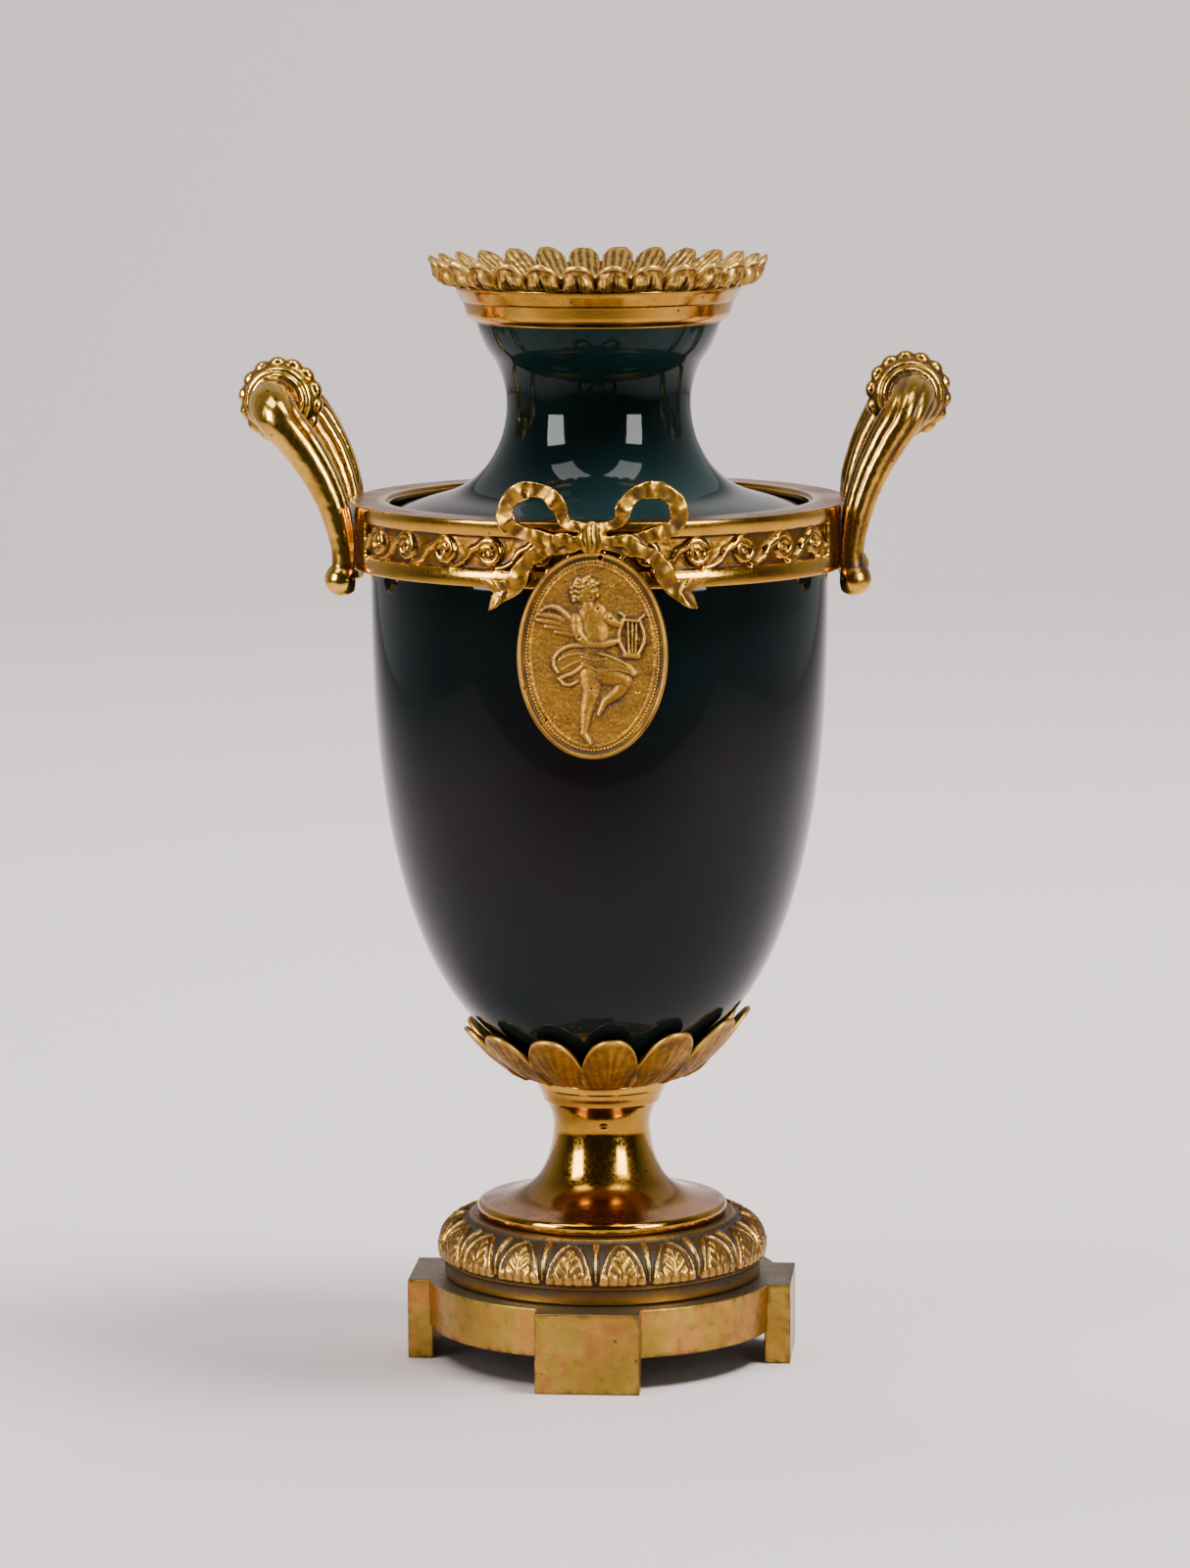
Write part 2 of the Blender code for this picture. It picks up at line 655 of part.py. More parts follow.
def torus_section(azimuth):
    pitch = 360.0 / TORUS_LEAVES
    phase = (azimuth - TORUS_PHASE) / pitch
    side = phase - round(phase)  # from the middle of a leaf
    on_ground = abs(side) > 0.3
    points = [(33.0, TORUS_TOP_Z, 0.0)]
    for radius, z, share in ((37.2, 35.4, 1.0), (41.2, 31.8, 0.58), (TORUS_RADIUS, 25.4, 0.0)):
        edge = arch_half_width(share) + (0.04 if on_ground else 0.0)
        turn = (math.copysign(edge, side) - side) * pitch
        inward = LEAF_RELIEF if on_ground and share < 1.0 else 0.0
        points.append((radius - inward, z, turn))
    points.append((FILLET_RADIUS, FILLET_TOP_Z, 0.0))
    points.append((FILLET_RADIUS, TORUS_FOOT_Z, 0.0))
    points.append((BOLT_HOLE_RADIUS, TORUS_FOOT_Z, 0.0))
    points.append((BOLT_HOLE_RADIUS, TORUS_TOP_Z, 0.0))
    return points


def make_leaf_torus():
    pitch = 360.0 / TORUS_LEAVES
    offsets = (-0.375, -0.125, 0.125, 0.375)
    azimuths = [TORUS_PHASE + pitch * (leaf + offset) for leaf in range(TORUS_LEAVES) for offset in offsets]
    return finish(loft_ring("leaf_torus", torus_section, azimuths), GILT_CAST, 25.0)


# ---------- base ----------

def make_base_plate():
    outline = profile(
        (0.0, PLATE_TOP_Z), (PLATE_RADIUS - 0.5, PLATE_TOP_Z), (PLATE_RADIUS, PLATE_TOP_Z - 0.5),
        (PLATE_RADIUS - 0.4, PLATE_FOOT_Z + 0.6), (PLATE_RADIUS - 1.0, PLATE_FOOT_Z), (0.0, PLATE_FOOT_Z),
    )
    pieces = [lathe("base_plate", outline, closed=False, segments=36)]
    for quarter in range(4):
        bm = bmesh.new()
        bmesh.ops.create_cube(bm, size=1.0)
        size = Matrix.Diagonal((FOOT_WIDTH * MM, FOOT_THICKNESS * MM, FOOT_TOP_Z * MM, 1.0))
        place = Vector((0.0, -(FOOT_REACH - FOOT_THICKNESS / 2), FOOT_TOP_Z / 2)) * MM
        turn = Matrix.Rotation(math.radians(90.0 * quarter), 4, "Z")
        bmesh.ops.transform(bm, matrix=turn @ Matrix.Translation(place) @ size, verts=bm.verts)
        upright = [e for e in bm.edges if abs(e.verts[0].co.z - e.verts[1].co.z) > MM]
        bmesh.ops.bevel(bm, geom=upright, offset=0.6 * MM, segments=1, affect="EDGES")
        pieces.append(from_bmesh("foot", bm))
    base = join_all(pieces)
    base.data.transform(Matrix.Rotation(math.radians(BASE_TURN), 4, "Z"))
    return finish(base, GILT_BRIGHT)


clear_scene()
parts = make_collection("glazed_mounted_vase")
cutters = make_collection("cutters")
band_cutter = make_band_cutter()

make_vase_body()
make_rim_collar()
make_leaf_crown()
make_shoulder_band()
make_handle("handle_left", -1, LEAN_LEFT, HANDLE_DROP_LEFT, TWIST_LEFT, band_cutter)
make_handle("handle_right", 1, LEAN_RIGHT, 0.0, TWIST_RIGHT, band_cutter)
make_medallion(band_cutter)
make_leaf_calyx()
make_stem()
make_leaf_torus()
make_base_plate()
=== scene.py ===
import math

import bmesh
import bpy
import numpy as np
from mathutils import Matrix, Vector, noise


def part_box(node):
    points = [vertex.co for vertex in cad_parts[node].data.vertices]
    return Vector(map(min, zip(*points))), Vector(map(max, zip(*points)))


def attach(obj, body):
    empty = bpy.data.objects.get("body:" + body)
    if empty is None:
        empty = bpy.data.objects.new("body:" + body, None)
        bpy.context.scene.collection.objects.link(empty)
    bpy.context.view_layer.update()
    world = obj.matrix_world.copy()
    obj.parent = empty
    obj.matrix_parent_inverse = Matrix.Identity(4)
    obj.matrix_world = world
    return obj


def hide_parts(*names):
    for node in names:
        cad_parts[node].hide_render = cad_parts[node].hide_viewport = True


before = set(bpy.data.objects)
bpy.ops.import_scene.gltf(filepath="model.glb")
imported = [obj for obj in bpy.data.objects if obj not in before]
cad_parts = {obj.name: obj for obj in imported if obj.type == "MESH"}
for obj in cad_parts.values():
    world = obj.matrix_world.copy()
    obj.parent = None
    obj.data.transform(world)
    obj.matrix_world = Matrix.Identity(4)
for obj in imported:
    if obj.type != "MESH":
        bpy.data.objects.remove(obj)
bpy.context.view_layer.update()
print("frame loaded:", len(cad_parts), "pieces")

# Work is in millimetres; mm turns it into metres when a mesh is made.
# Azimuths are degrees from the front (-Y), positive towards +X.
mm = 0.001


def boxOf(node):
    low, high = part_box(node)
    return low / mm, high / mm


def polar(radius, azimuth, z):
    angle = np.radians(azimuth)
    radius, angle, z = np.broadcast_arrays(radius, angle, z)
    return np.stack((radius * np.sin(angle), -radius * np.cos(angle), z), axis=-1)


def smoothStep(low, high, value):
    share = np.clip((value - low) / (high - low), 0.0, 1.0)
    return share * share * (3.0 - 2.0 * share)


def curveThrough(points, perSpan=8):
    # a smooth line through points (centripetal, so it doesn't overshoot)
    points = np.asarray(points, float)
    points = np.vstack((2 * points[0] - points[1], points, 2 * points[-1] - points[-2]))
    line = []
    for a, b, c, d in zip(points, points[1:], points[2:], points[3:]):
        gaps = [max(np.linalg.norm(q - p), 1e-6) ** 0.5 for p, q in ((a, b), (b, c), (c, d))]
        knots = np.cumsum([0.0] + gaps)
        for t in np.linspace(knots[1], knots[2], perSpan, endpoint=False):
            ab = (a * (knots[1] - t) + b * (t - knots[0])) / (knots[1] - knots[0])
            bc = (b * (knots[2] - t) + c * (t - knots[1])) / (knots[2] - knots[1])
            cd = (c * (knots[3] - t) + d * (t - knots[2])) / (knots[3] - knots[2])
            abc = (ab * (knots[2] - t) + bc * (t - knots[0])) / (knots[2] - knots[0])
            bcd = (bc * (knots[3] - t) + cd * (t - knots[1])) / (knots[3] - knots[1])
            line.append((abc * (knots[2] - t) + bcd * (t - knots[1])) / (knots[2] - knots[1]))
    line.append(points[-2])
    return np.array(line)


def filleted(corners, steps=4):
    # corners are (r, z, fillet); each corner becomes an arc of about that radius
    corners = np.asarray(corners, float)
    line = []
    for index, (r, z, fillet) in enumerate(corners):
        here = np.array((r, z))
        if fillet <= 0.0 or index in (0, len(corners) - 1):
            line.append(here)
            continue
        before = corners[index - 1, :2] - here
        after = corners[index + 1, :2] - here
        reach = min(fillet, np.linalg.norm(before) * 0.48, np.linalg.norm(after) * 0.48)
        start = here + before / np.linalg.norm(before) * reach
        end = here + after / np.linalg.norm(after) * reach
        for t in np.linspace(0.0, 1.0, steps + 1):
            line.append(start * (1 - t) ** 2 + here * 2 * t * (1 - t) + end * t * t)
    return np.array(line)


def evened(line, spacing):
    # the same line with points no further apart than spacing; its own points stay
    out = [line[0]]
    for a, b in zip(line, line[1:]):
        pieces = max(1, math.ceil(np.linalg.norm(b - a) / spacing - 1e-6))
        out.extend(a + (b - a) * step / pieces for step in range(1, pieces + 1))
    return np.array(out)


def resampled(line, count):
    line = np.asarray(line, float)
    along = np.concatenate(([0.0], np.cumsum(np.linalg.norm(np.diff(line, axis=0), axis=1))))
    wanted = np.linspace(0.0, along[-1], count)
    return np.stack([np.interp(wanted, along, line[:, axis]) for axis in range(line.shape[1])], axis=-1)


def gridFaces(rows, columns, wrapColumns=False):
    j = np.arange(columns if wrapColumns else columns - 1)
    i, j = (a.ravel() for a in np.meshgrid(np.arange(rows - 1), j, indexing="ij"))
    k, m = i + 1, (j + 1) % columns
    corners = (i * columns + j, k * columns + j, k * columns + m, i * columns + m)
    return np.stack(corners, axis=-1).tolist()


def linked(name, data):
    piece = bpy.data.objects.new(name, data)
    bpy.context.scene.collection.objects.link(piece)
    return piece


def newPiece(name, points, faces):
    mesh = bpy.data.meshes.new(name)
    mesh.from_pydata((np.asarray(points, float).reshape(-1, 3) * mm).tolist(), [], faces)
    return linked(name, mesh)


def newWire(name, points, closed=False):
    # a line of edges without faces
    wire = newPiece(name, points, [])
    count = len(points)
    edges = count if closed else count - 1
    wire.data.edges.add(edges)
    ends = [end for index in range(edges) for end in (index, (index + 1) % count)]
    wire.data.edges.foreach_set("vertices", ends)
    return wire


def sectorPiece(name, azimuths, rows):
    # the skin of one sector, from a closed outline of (r, z) at each azimuth
    points = polar(rows[..., 0], azimuths[:, None], rows[..., 1])
    return newPiece(name, points, gridFaces(len(azimuths), rows.shape[1], wrapColumns=True))


def pieceFrom(name, bm):
    mesh = bpy.data.meshes.new(name)
    bm.to_mesh(mesh)
    bm.free()
    return linked(name, mesh)


def cleaned(piece, weld=0.004):
    # doubles merged, normals outwards, smooth all over
    bm = bmesh.new()
    bm.from_mesh(piece.data)
    bmesh.ops.remove_doubles(bm, verts=bm.verts, dist=weld * mm)
    bmesh.ops.recalc_face_normals(bm, faces=bm.faces)
    bm.to_mesh(piece.data)
    bm.free()
    piece.data.shade_smooth()
    return piece


def applied(piece):
    # modifiers turned into plain mesh
    bpy.context.view_layer.update()
    depsgraph = bpy.context.evaluated_depsgraph_get()
    mesh = bpy.data.meshes.new_from_object(piece.evaluated_get(depsgraph))
    old = piece.data
    piece.modifiers.clear()
    piece.data = mesh
    bpy.data.meshes.remove(old)
    mesh.name = piece.name
    return piece


def merged(name, pieces):
    bm = bmesh.new()
    for piece in pieces:
        bm.from_mesh(piece.data)
        bpy.data.objects.remove(piece)
    joined = pieceFrom(name, bm)
    joined.data.shade_smooth()
    return joined


def fused(piece, voxel):
    # overlapping closed shells become one skin, as one casting is
    remesh = piece.modifiers.new("fuse", "REMESH")
    remesh.mode = "VOXEL"
    remesh.voxel_size = voxel * mm
    remesh.use_smooth_shade = True
    return applied(piece)


def pointsOf(piece):
    flat = np.empty(len(piece.data.vertices) * 3, np.float32)
    piece.data.vertices.foreach_get("co", flat)
    return flat.reshape(-1, 3).astype(float) / mm


def placePoints(piece, points):
    piece.data.vertices.foreach_set("co", (points * mm).astype(np.float32).ravel())
    piece.data.update()


def normalsOf(piece):
    flat = np.empty(len(piece.data.vertices) * 3, np.float32)
    piece.data.vertex_normals.foreach_get("vector", flat)
    return flat.reshape(-1, 3).astype(float)


def pushedOut(piece, points, distance):
    # the points moved along the piece's normals by a distance each
    return points + normalsOf(piece) * distance[:, None]


def azimuthOf(points):
    return np.degrees(np.arctan2(points[:, 0], -points[:, 1]))


def radiusOf(points):
    return np.hypot(points[:, 0], points[:, 1])


def edgesOf(piece):
    edges = np.empty(len(piece.data.edges) * 2, np.int32)
    piece.data.edges.foreach_get("vertices", edges)
    return edges.reshape(-1, 2)


def relaxed(points, edges, rounds):
    # each point drawn halfway to the mean of its neighbours, rounds times
    count = len(points)
    weight = np.maximum(np.bincount(edges.ravel(), minlength=count), 1)[:, None]
    for _ in range(rounds):
        total = np.stack([
            np.bincount(edges[:, 0], points[edges[:, 1], axis], count)
            + np.bincount(edges[:, 1], points[edges[:, 0], axis], count)
            for axis in range(points.shape[1])], axis=-1)
        points = 0.5 * points + 0.5 * total / weight
    return points


def hollowness(piece, rounds):
    # in millimetres: above 0 in hollows, below 0 on edges and crests
    points = pointsOf(piece)
    return np.einsum("ij,ij->i", relaxed(points, edgesOf(piece), rounds) - points, normalsOf(piece))


def valueNoise(points, size, seed=0.0, octaves=3):
    # soft lumps of about size millimetres, from about -1 to 1
    shift = Vector((seed * 17.3, seed * 5.1, seed * 9.7))
    return np.array([noise.fractal(Vector(p) / size + shift, 1.0, 2.0, octaves) for p in points])


def store(piece, label, values):
    attribute = piece.data.attributes.new(label, "FLOAT", "POINT")
    attribute.data.foreach_set("value", np.asarray(values, np.float32).ravel())


def ageing(piece, look, base=0.0):
    # the wear attribute, which also carries the painted light and shade some pieces pass in as base: 0 rubbed
    # bright, 1 brown dirt in the hollows
    fine = hollowness(piece, look["fineRounds"]) / look["fineDepth"]
    broad = hollowness(piece, look["broadRounds"]) / look["broadDepth"]
    ageAndPaintedLight = base + 0.5 + 0.5 * np.clip(fine, -1.0, 1.0) * look["fineShare"]
    ageAndPaintedLight = ageAndPaintedLight + 0.5 * np.clip(broad, -1.0, 1.0) * (1.0 - look["fineShare"])
    store(piece, "ageAndPaintedLight", np.clip(ageAndPaintedLight, 0.0, 1.0))


def settled(piece, metal, node):
    # takes its finish and its place in the frame
    piece.data.materials.clear()
    piece.data.materials.append(metal)
    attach(piece, "root")
    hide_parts(node)
    count = sum(len(p.vertices) - 2 for p in piece.data.polygons)
    print(piece.name, count, "triangles")
    return piece


def feed(tree, node, inputs):
    # each input takes a value, or another node's output
    for socket, value in inputs.items():
        if isinstance(value, bpy.types.NodeSocket):
            tree.links.new(value, node.inputs[socket])
        else:
            node.inputs[socket].default_value = value
    return node


def newNode(tree, kind, inputs=None, **settings):
    node = tree.nodes.new(kind)
    for setting, value in settings.items():
        setattr(node, setting, value)
    return feed(tree, node, inputs or {})


def mathNode(tree, operation, *values):
    return newNode(tree, "ShaderNodeMath", dict(enumerate(values)), operation=operation).outputs[0]


def newTree(name, **sockets):
    # a Geometry Nodes tree that takes geometry, these inputs and a material
    tree = bpy.data.node_groups.new(name, "GeometryNodeTree")
    for label, kind in dict(Geometry="Geometry", **sockets, Material="Material").items():
        tree.interface.new_socket(label, in_out="INPUT", socket_type="NodeSocket" + kind)
    tree.interface.new_socket("Geometry", in_out="OUTPUT", socket_type="NodeSocketGeometry")
    return tree, newNode(tree, "NodeGroupInput").outputs


def treeEnd(tree, given, geometry):
    # every tree ends in real geometry with its finish
    real = newNode(tree, "GeometryNodeRealizeInstances", {0: geometry})
    finish = newNode(tree, "GeometryNodeSetMaterial", {
        "Geometry": real.outputs[0], "Material": given["Material"]})
    newNode(tree, "NodeGroupOutput", {0: finish.outputs[0]})
    return tree


def makeArcTree():
    # copies of one sector, each turned one pitch further round Z
    tree, given = newTree("copies round the axis", Copies="Int", Pitch="Float", First="Float")
    line = newNode(tree, "GeometryNodeMeshLine", {"Count": given["Copies"], "Offset": (0.0, 0.0, 0.0)})
    index = newNode(tree, "GeometryNodeInputIndex")
    step = mathNode(tree, "MULTIPLY", index.outputs[0], given["Pitch"])
    azimuth = mathNode(tree, "ADD", step, given["First"])
    turn = newNode(tree, "ShaderNodeCombineXYZ", {"Z": mathNode(tree, "RADIANS", azimuth)})
    copies = newNode(tree, "GeometryNodeInstanceOnPoints", {
        "Points": line.outputs[0], "Instance": given["Geometry"], "Rotation": turn.outputs[0]})
    return treeEnd(tree, given, copies.outputs[0])


def makeTurningTree():
    # a profile (r, 0, z) turned round Z, as on a lathe: swept round a circle almost without size
    tree, given = newTree("turned on the lathe", Steps="Int")
    hub = 0.001
    laid = newNode(tree, "GeometryNodeTransform", {
        "Geometry": given["Geometry"], "Rotation": (math.pi / 2, 0.0, 0.0), "Translation": (-hub, 0.0, 0.0)})
    profile = newNode(tree, "GeometryNodeMeshToCurve", {0: laid.outputs[0]})
    circle = newNode(tree, "GeometryNodeCurvePrimitiveCircle", {"Resolution": given["Steps"], "Radius": hub})
    upright = newNode(tree, "GeometryNodeSetCurveNormal", {0: circle.outputs[0]}, mode="Z_UP")
    turned = newNode(tree, "GeometryNodeCurveToMesh", {
        "Curve": upright.outputs[0], "Profile Curve": profile.outputs[0]})
    return treeEnd(tree, given, turned.outputs[0])


def makeBeadTree():
    # beads at even steps along a closed line
    tree, given = newTree("beads along a line", Beads="Int", Radius="Float")
    curve = newNode(tree, "GeometryNodeMeshToCurve", {0: given["Geometry"]})
    even = newNode(tree, "GeometryNodeCurveToPoints", {
        0: curve.outputs[0], "Count": given["Beads"]}, mode="COUNT")
    bead = newNode(tree, "GeometryNodeMeshIcoSphere", {"Subdivisions": 2, "Radius": given["Radius"]})
    copies = newNode(tree, "GeometryNodeInstanceOnPoints", {
        "Points": even.outputs["Points"], "Instance": bead.outputs["Mesh"]})
    return treeEnd(tree, given, copies.outputs[0])


arcTree = makeArcTree()
turningTree = makeTurningTree()
beadTree = makeBeadTree()


def throughTree(piece, tree, **values):
    modifier = piece.modifiers.new(tree.name, "NODES")
    modifier.node_group = tree
    for item in tree.interface.items_tree:
        if item.in_out == "INPUT" and item.name in values:
            modifier[item.identifier] = values[item.name]
    return applied(piece)


def turned(name, outline, steps, metal):
    line = newWire(name, [(r, 0.0, z) for r, z in outline])
    return cleaned(throughTree(line, turningTree, Steps=steps, Material=metal))


def copiesRound(sector, copies, first, metal, pitch=None):
    return throughTree(sector, arcTree, Copies=copies, Pitch=pitch or 360.0 / copies, First=first,
                       Material=metal)


def materialTree(name):
    material = bpy.data.materials.new(name)
    material.use_nodes = True
    return material, material.node_tree, material.node_tree.nodes["Principled BSDF"]


def mappedNoise(tree, scale, detail=3.0, roughness=0.55, stretch=(1.0, 1.0, 1.0), kind="Noise"):
    place = newNode(tree, "ShaderNodeTexCoord")
    mapping = newNode(tree, "ShaderNodeMapping", {"Vector": place.outputs["Object"], "Scale": stretch})
    inputs = {"Vector": mapping.outputs["Vector"], "Scale": scale}
    if kind == "Noise":
        inputs.update({"Detail": detail, "Roughness": roughness})
    return newNode(tree, "ShaderNodeTex" + kind, inputs).outputs[0]


def ramp(tree, source, stops):
    node = newNode(tree, "ShaderNodeValToRGB", {"Fac": source})
    elements = node.color_ramp.elements
    while len(elements) < len(stops):
        elements.new(0.5)
    for element, (place, color) in zip(elements, stops):
        element.position = place
        element.color = (*color, 1.0)
    return node.outputs["Color"]


def mixed(tree, share, first, second, blend="MIX"):
    colors = [(*color, 1.0) if isinstance(color, tuple) else color for color in (first, second)]
    node = newNode(tree, "ShaderNodeMix", {0: share, 6: colors[0], 7: colors[1]},
                   data_type="RGBA", blend_type=blend)
    return node.outputs[2]


def ranged(tree, source, low, high, toLow, toHigh):
    return newNode(tree, "ShaderNodeMapRange", dict(enumerate((source, low, high, toLow, toHigh)))).outputs[0]


def bumped(tree, height, strength, depth):
    bump = newNode(tree, "ShaderNodeBump", {"Strength": strength, "Distance": depth * mm, "Height": height})
    return bump.outputs["Normal"]


def placeAxes(tree, output="Object"):
    place = newNode(tree, "ShaderNodeTexCoord")
    return newNode(tree, "ShaderNodeSeparateXYZ", {0: place.outputs[output]}).outputs


glazeLook = dict(
    teal=(0.0075, 0.0225, 0.0230), brown=(0.0175, 0.0130, 0.0135), deep=(0.0085, 0.0155, 0.0160),
    rim=(0.0130, 0.0680, 0.0690), rimLow=0.238, rimHigh=0.264, deepLow=0.150, deepHigh=0.222,
    patchScale=22.0, patchStretch=(1.0, 1.0, 0.6), patchLow=0.42, patchHigh=0.62,
    brownLow=0.9, brownHigh=0.25, cloudScale=68.2, cloudLow=0.35, cloudHigh=0.75, cloudShare=0.35,
    speckleScale=900.0, roughLow=0.03, roughHigh=0.07, ior=1.22,
    waveScale=55.0, waveDepth=0.10, waveBump=0.35,
)


def makeGlaze():
    # teal above, browner and deeper down the body, a lighter blue-green towards the top of the neck
    look = glazeLook
    material, tree, shader = materialTree("glaze")
    patches = mappedNoise(tree, look["patchScale"], 2.0, 0.5, look["patchStretch"])
    clouds = mappedNoise(tree, look["cloudScale"], 3.0)
    height = placeAxes(tree)["Z"]
    upwards = ranged(tree, height, look["deepLow"], look["deepHigh"], 0.0, 1.0)
    color = mixed(tree, upwards, look["deep"], look["teal"])
    brown = ranged(tree, patches, look["patchLow"], look["patchHigh"], 0.0, look["brownLow"])
    fade = ranged(tree, height, look["deepLow"], look["deepHigh"], 1.0, look["brownHigh"])
    color = mixed(tree, mathNode(tree, "MULTIPLY", brown, fade), color, look["brown"])
    color = mixed(tree, ranged(tree, height, look["rimLow"], look["rimHigh"], 0.0, 1.0), color, look["rim"])
    cloudy = ranged(tree, clouds, look["cloudLow"], look["cloudHigh"], 0.0, look["cloudShare"])
    speckle = mappedNoise(tree, look["speckleScale"], 2.0)
    rough = ranged(tree, speckle, 0.3, 0.8, look["roughLow"], look["roughHigh"])
    waves = mappedNoise(tree, look["waveScale"], 2.0, 0.4)
    feed(tree, shader, {
        "Base Color": mixed(tree, cloudy, color, look["deep"]), "Roughness": rough, "IOR": look["ior"],
        "Normal": bumped(tree, waves, look["waveBump"], look["waveDepth"])})
    return material


def makeGilt(name, look):
    # gilt bronze: rubbed high places, brown in the hollows, pits, faint scratches
    material, tree, shader = materialTree(name)
    ageAndPaintedLight = newNode(tree, "ShaderNodeAttribute", attribute_name="ageAndPaintedLight")
    blotches = mappedNoise(tree, look["blotchScale"], 3.0)
    grain = mappedNoise(tree, look["grainScale"], 3.0, 0.6)
    spots = mappedNoise(tree, look["pitScale"], kind="Voronoi")

    def swing(noiseOutput, low, high):
        return ranged(tree, noiseOutput, 0.3, 0.7, low, high)

    aged = ageAndPaintedLight.outputs["Fac"]
    for texture, much in ((blotches, look["blotchSwing"]), (grain, look["grainSwing"])):
        aged = mathNode(tree, "ADD", aged, swing(texture, -much, much))
    color = ramp(tree, aged, look["colors"])
    tinted = ramp(tree, mappedNoise(tree, look["tintScale"], 2.0), look["tints"])
    color = mixed(tree, look["tintShare"], color, tinted, "MULTIPLY")
    pit = ranged(tree, spots, look["pitSize"] * look["pitCore"], look["pitSize"], 1.0, 0.0)
    color = mixed(tree, mathNode(tree, "MULTIPLY", pit, look["pitShare"]), color, look["pitColor"])
    metallic = ranged(tree, aged, look["dirtFrom"], 1.0, 1.0, look["dirtMetal"])
    rough = ranged(tree, aged, 0.2, 0.9, look["roughLow"], look["roughHigh"])
    rough = mathNode(tree, "ADD", rough, swing(grain, *look["roughSwing"]))
    scratches = mappedNoise(tree, look["scratchScale"], 2.0, 0.5, look["scratchStretch"])
    relief = mathNode(tree, "ADD", mathNode(tree, "MULTIPLY", grain, look["grainShare"]),
                      mathNode(tree, "MULTIPLY", scratches, look["scratchShare"]))
    relief = mathNode(tree, "SUBTRACT", relief, mathNode(tree, "MULTIPLY", pit, look["pitDepth"]))
    feed(tree, shader, {"Base Color": color, "Metallic": metallic, "Roughness": rough,
                        "Normal": bumped(tree, relief, look["bump"], look["bumpDepth"])})
    return material


# colours run from rubbed bright (0) to brown dirt (1)
burnishedLook = dict(
    colors=((0.0, (0.50, 0.262, 0.036)), (0.45, (0.26, 0.117, 0.0115)), (0.72, (0.12, 0.050, 0.006)),
            (1.0, (0.036, 0.019, 0.007))),
    tints=((0.30, (1.0, 0.93, 0.84)), (0.48, (1.0, 1.0, 1.0)), (0.62, (0.96, 1.0, 0.86)),
           (0.75, (1.0, 0.9, 0.85))),
    tintShare=0.8, tintScale=38.0, blotchScale=70.0, blotchSwing=0.12, grainScale=1400.0, grainSwing=0.06,
    pitScale=190.0, pitSize=0.10, pitCore=0.6, pitColor=(0.10, 0.05, 0.02), pitShare=0.85, pitDepth=1.5,
    roughLow=0.17, roughHigh=0.45, roughSwing=(-0.04, 0.06), dirtFrom=0.62, dirtMetal=0.55,
    scratchScale=160.0, scratchStretch=(1.0, 1.0, 9.0), grainShare=0.25, scratchShare=0.8,
    bump=0.30, bumpDepth=0.05,
)
polishedLook = dict(burnishedLook, roughLow=0.08, roughHigh=0.40, bump=0.2)
castLook = dict(
    burnishedLook, roughLow=0.20, roughHigh=0.52, grainScale=2200.0, pitScale=260.0, pitSize=0.13,
    blotchScale=110.0, scratchShare=0.2, grainShare=0.9, bump=0.35,
    colors=((0.0, (0.64, 0.370, 0.066)), (0.42, (0.36, 0.180, 0.022)), (0.68, (0.145, 0.066, 0.010)),
            (1.0, (0.032, 0.018, 0.007))),
)
handleGiltLook = dict(
    castLook, roughLow=0.15, roughHigh=0.33, grainShare=0.4, grainScale=900.0, bump=0.12, pitSize=0.15,
    colors=((0.0, (0.82, 0.50, 0.095)), (0.42, (0.47, 0.255, 0.036)), (0.72, (0.17, 0.080, 0.013)),
            (1.0, (0.045, 0.025, 0.009))),
)
reliefLook = dict(
    castLook, roughLow=0.42, roughHigh=0.62,
    colors=((0.0, (0.54, 0.295, 0.052)), (0.42, (0.34, 0.166, 0.022)), (0.68, (0.20, 0.092, 0.014)),
            (1.0, (0.040, 0.023, 0.009))),
)
# rougher, as filed; its colours are lighter than the cast gilt's, painted light for the crown's leaves, which
# face the dark front
crownPaintedLightGiltLook = dict(
    castLook, roughLow=0.34, roughHigh=0.60,
    colors=((0.0, (0.78, 0.49, 0.125)), (0.42, (0.40, 0.205, 0.031)), (0.68, (0.155, 0.074, 0.013)),
            (1.0, (0.032, 0.019, 0.008))),
)
cushionLook = dict(
    castLook, roughLow=0.28, roughHigh=0.56,
    colors=((0.0, (0.44, 0.245, 0.055)), (0.40, (0.24, 0.120, 0.022)), (0.62, (0.13, 0.064, 0.016)),
            (0.80, (0.055, 0.032, 0.015)), (1.0, (0.034, 0.024, 0.015))),
)
baseLook = dict(
    burnishedLook, tintScale=85.0, tintShare=1.0, roughLow=0.26, roughHigh=0.5, scratchShare=0.4,
    pitScale=150.0, pitSize=0.085,
    colors=((0.0, (0.60, 0.36, 0.105)), (0.40, (0.355, 0.182, 0.040)), (0.68, (0.18, 0.090, 0.028)),
            (1.0, (0.080, 0.046, 0.025))),
    tints=((0.30, (1.0, 0.80, 0.80)), (0.44, (1.0, 0.98, 0.85)), (0.57, (0.80, 1.0, 0.62)),
           (0.70, (1.0, 0.82, 0.78))),
)
tarnishLook = dict(
    baseLook, roughLow=0.4, roughHigh=0.6,
    colors=((0.0, (0.20, 0.15, 0.11)), (0.5, (0.13, 0.10, 0.08)), (0.8, (0.09, 0.07, 0.06)),
            (1.0, (0.06, 0.05, 0.045))),
)
glaze = makeGlaze()
burnished = makeGilt("burnished gilt", burnishedLook)
polished = makeGilt("polished gilt", polishedLook)
cast = makeGilt("cast gilt", castLook)
handleGilt = makeGilt("handle gilt", handleGiltLook)
reliefGilt = makeGilt("relief gilt", reliefLook)
crownPaintedLightGilt = makeGilt("filed gilt painted lighter", crownPaintedLightGiltLook)
cushionGilt = makeGilt("chased gilt", cushionLook)
baseGilt = makeGilt("base gilt", baseLook)
tarnish = makeGilt("tarnished top", tarnishLook)
print("finishes mixed")


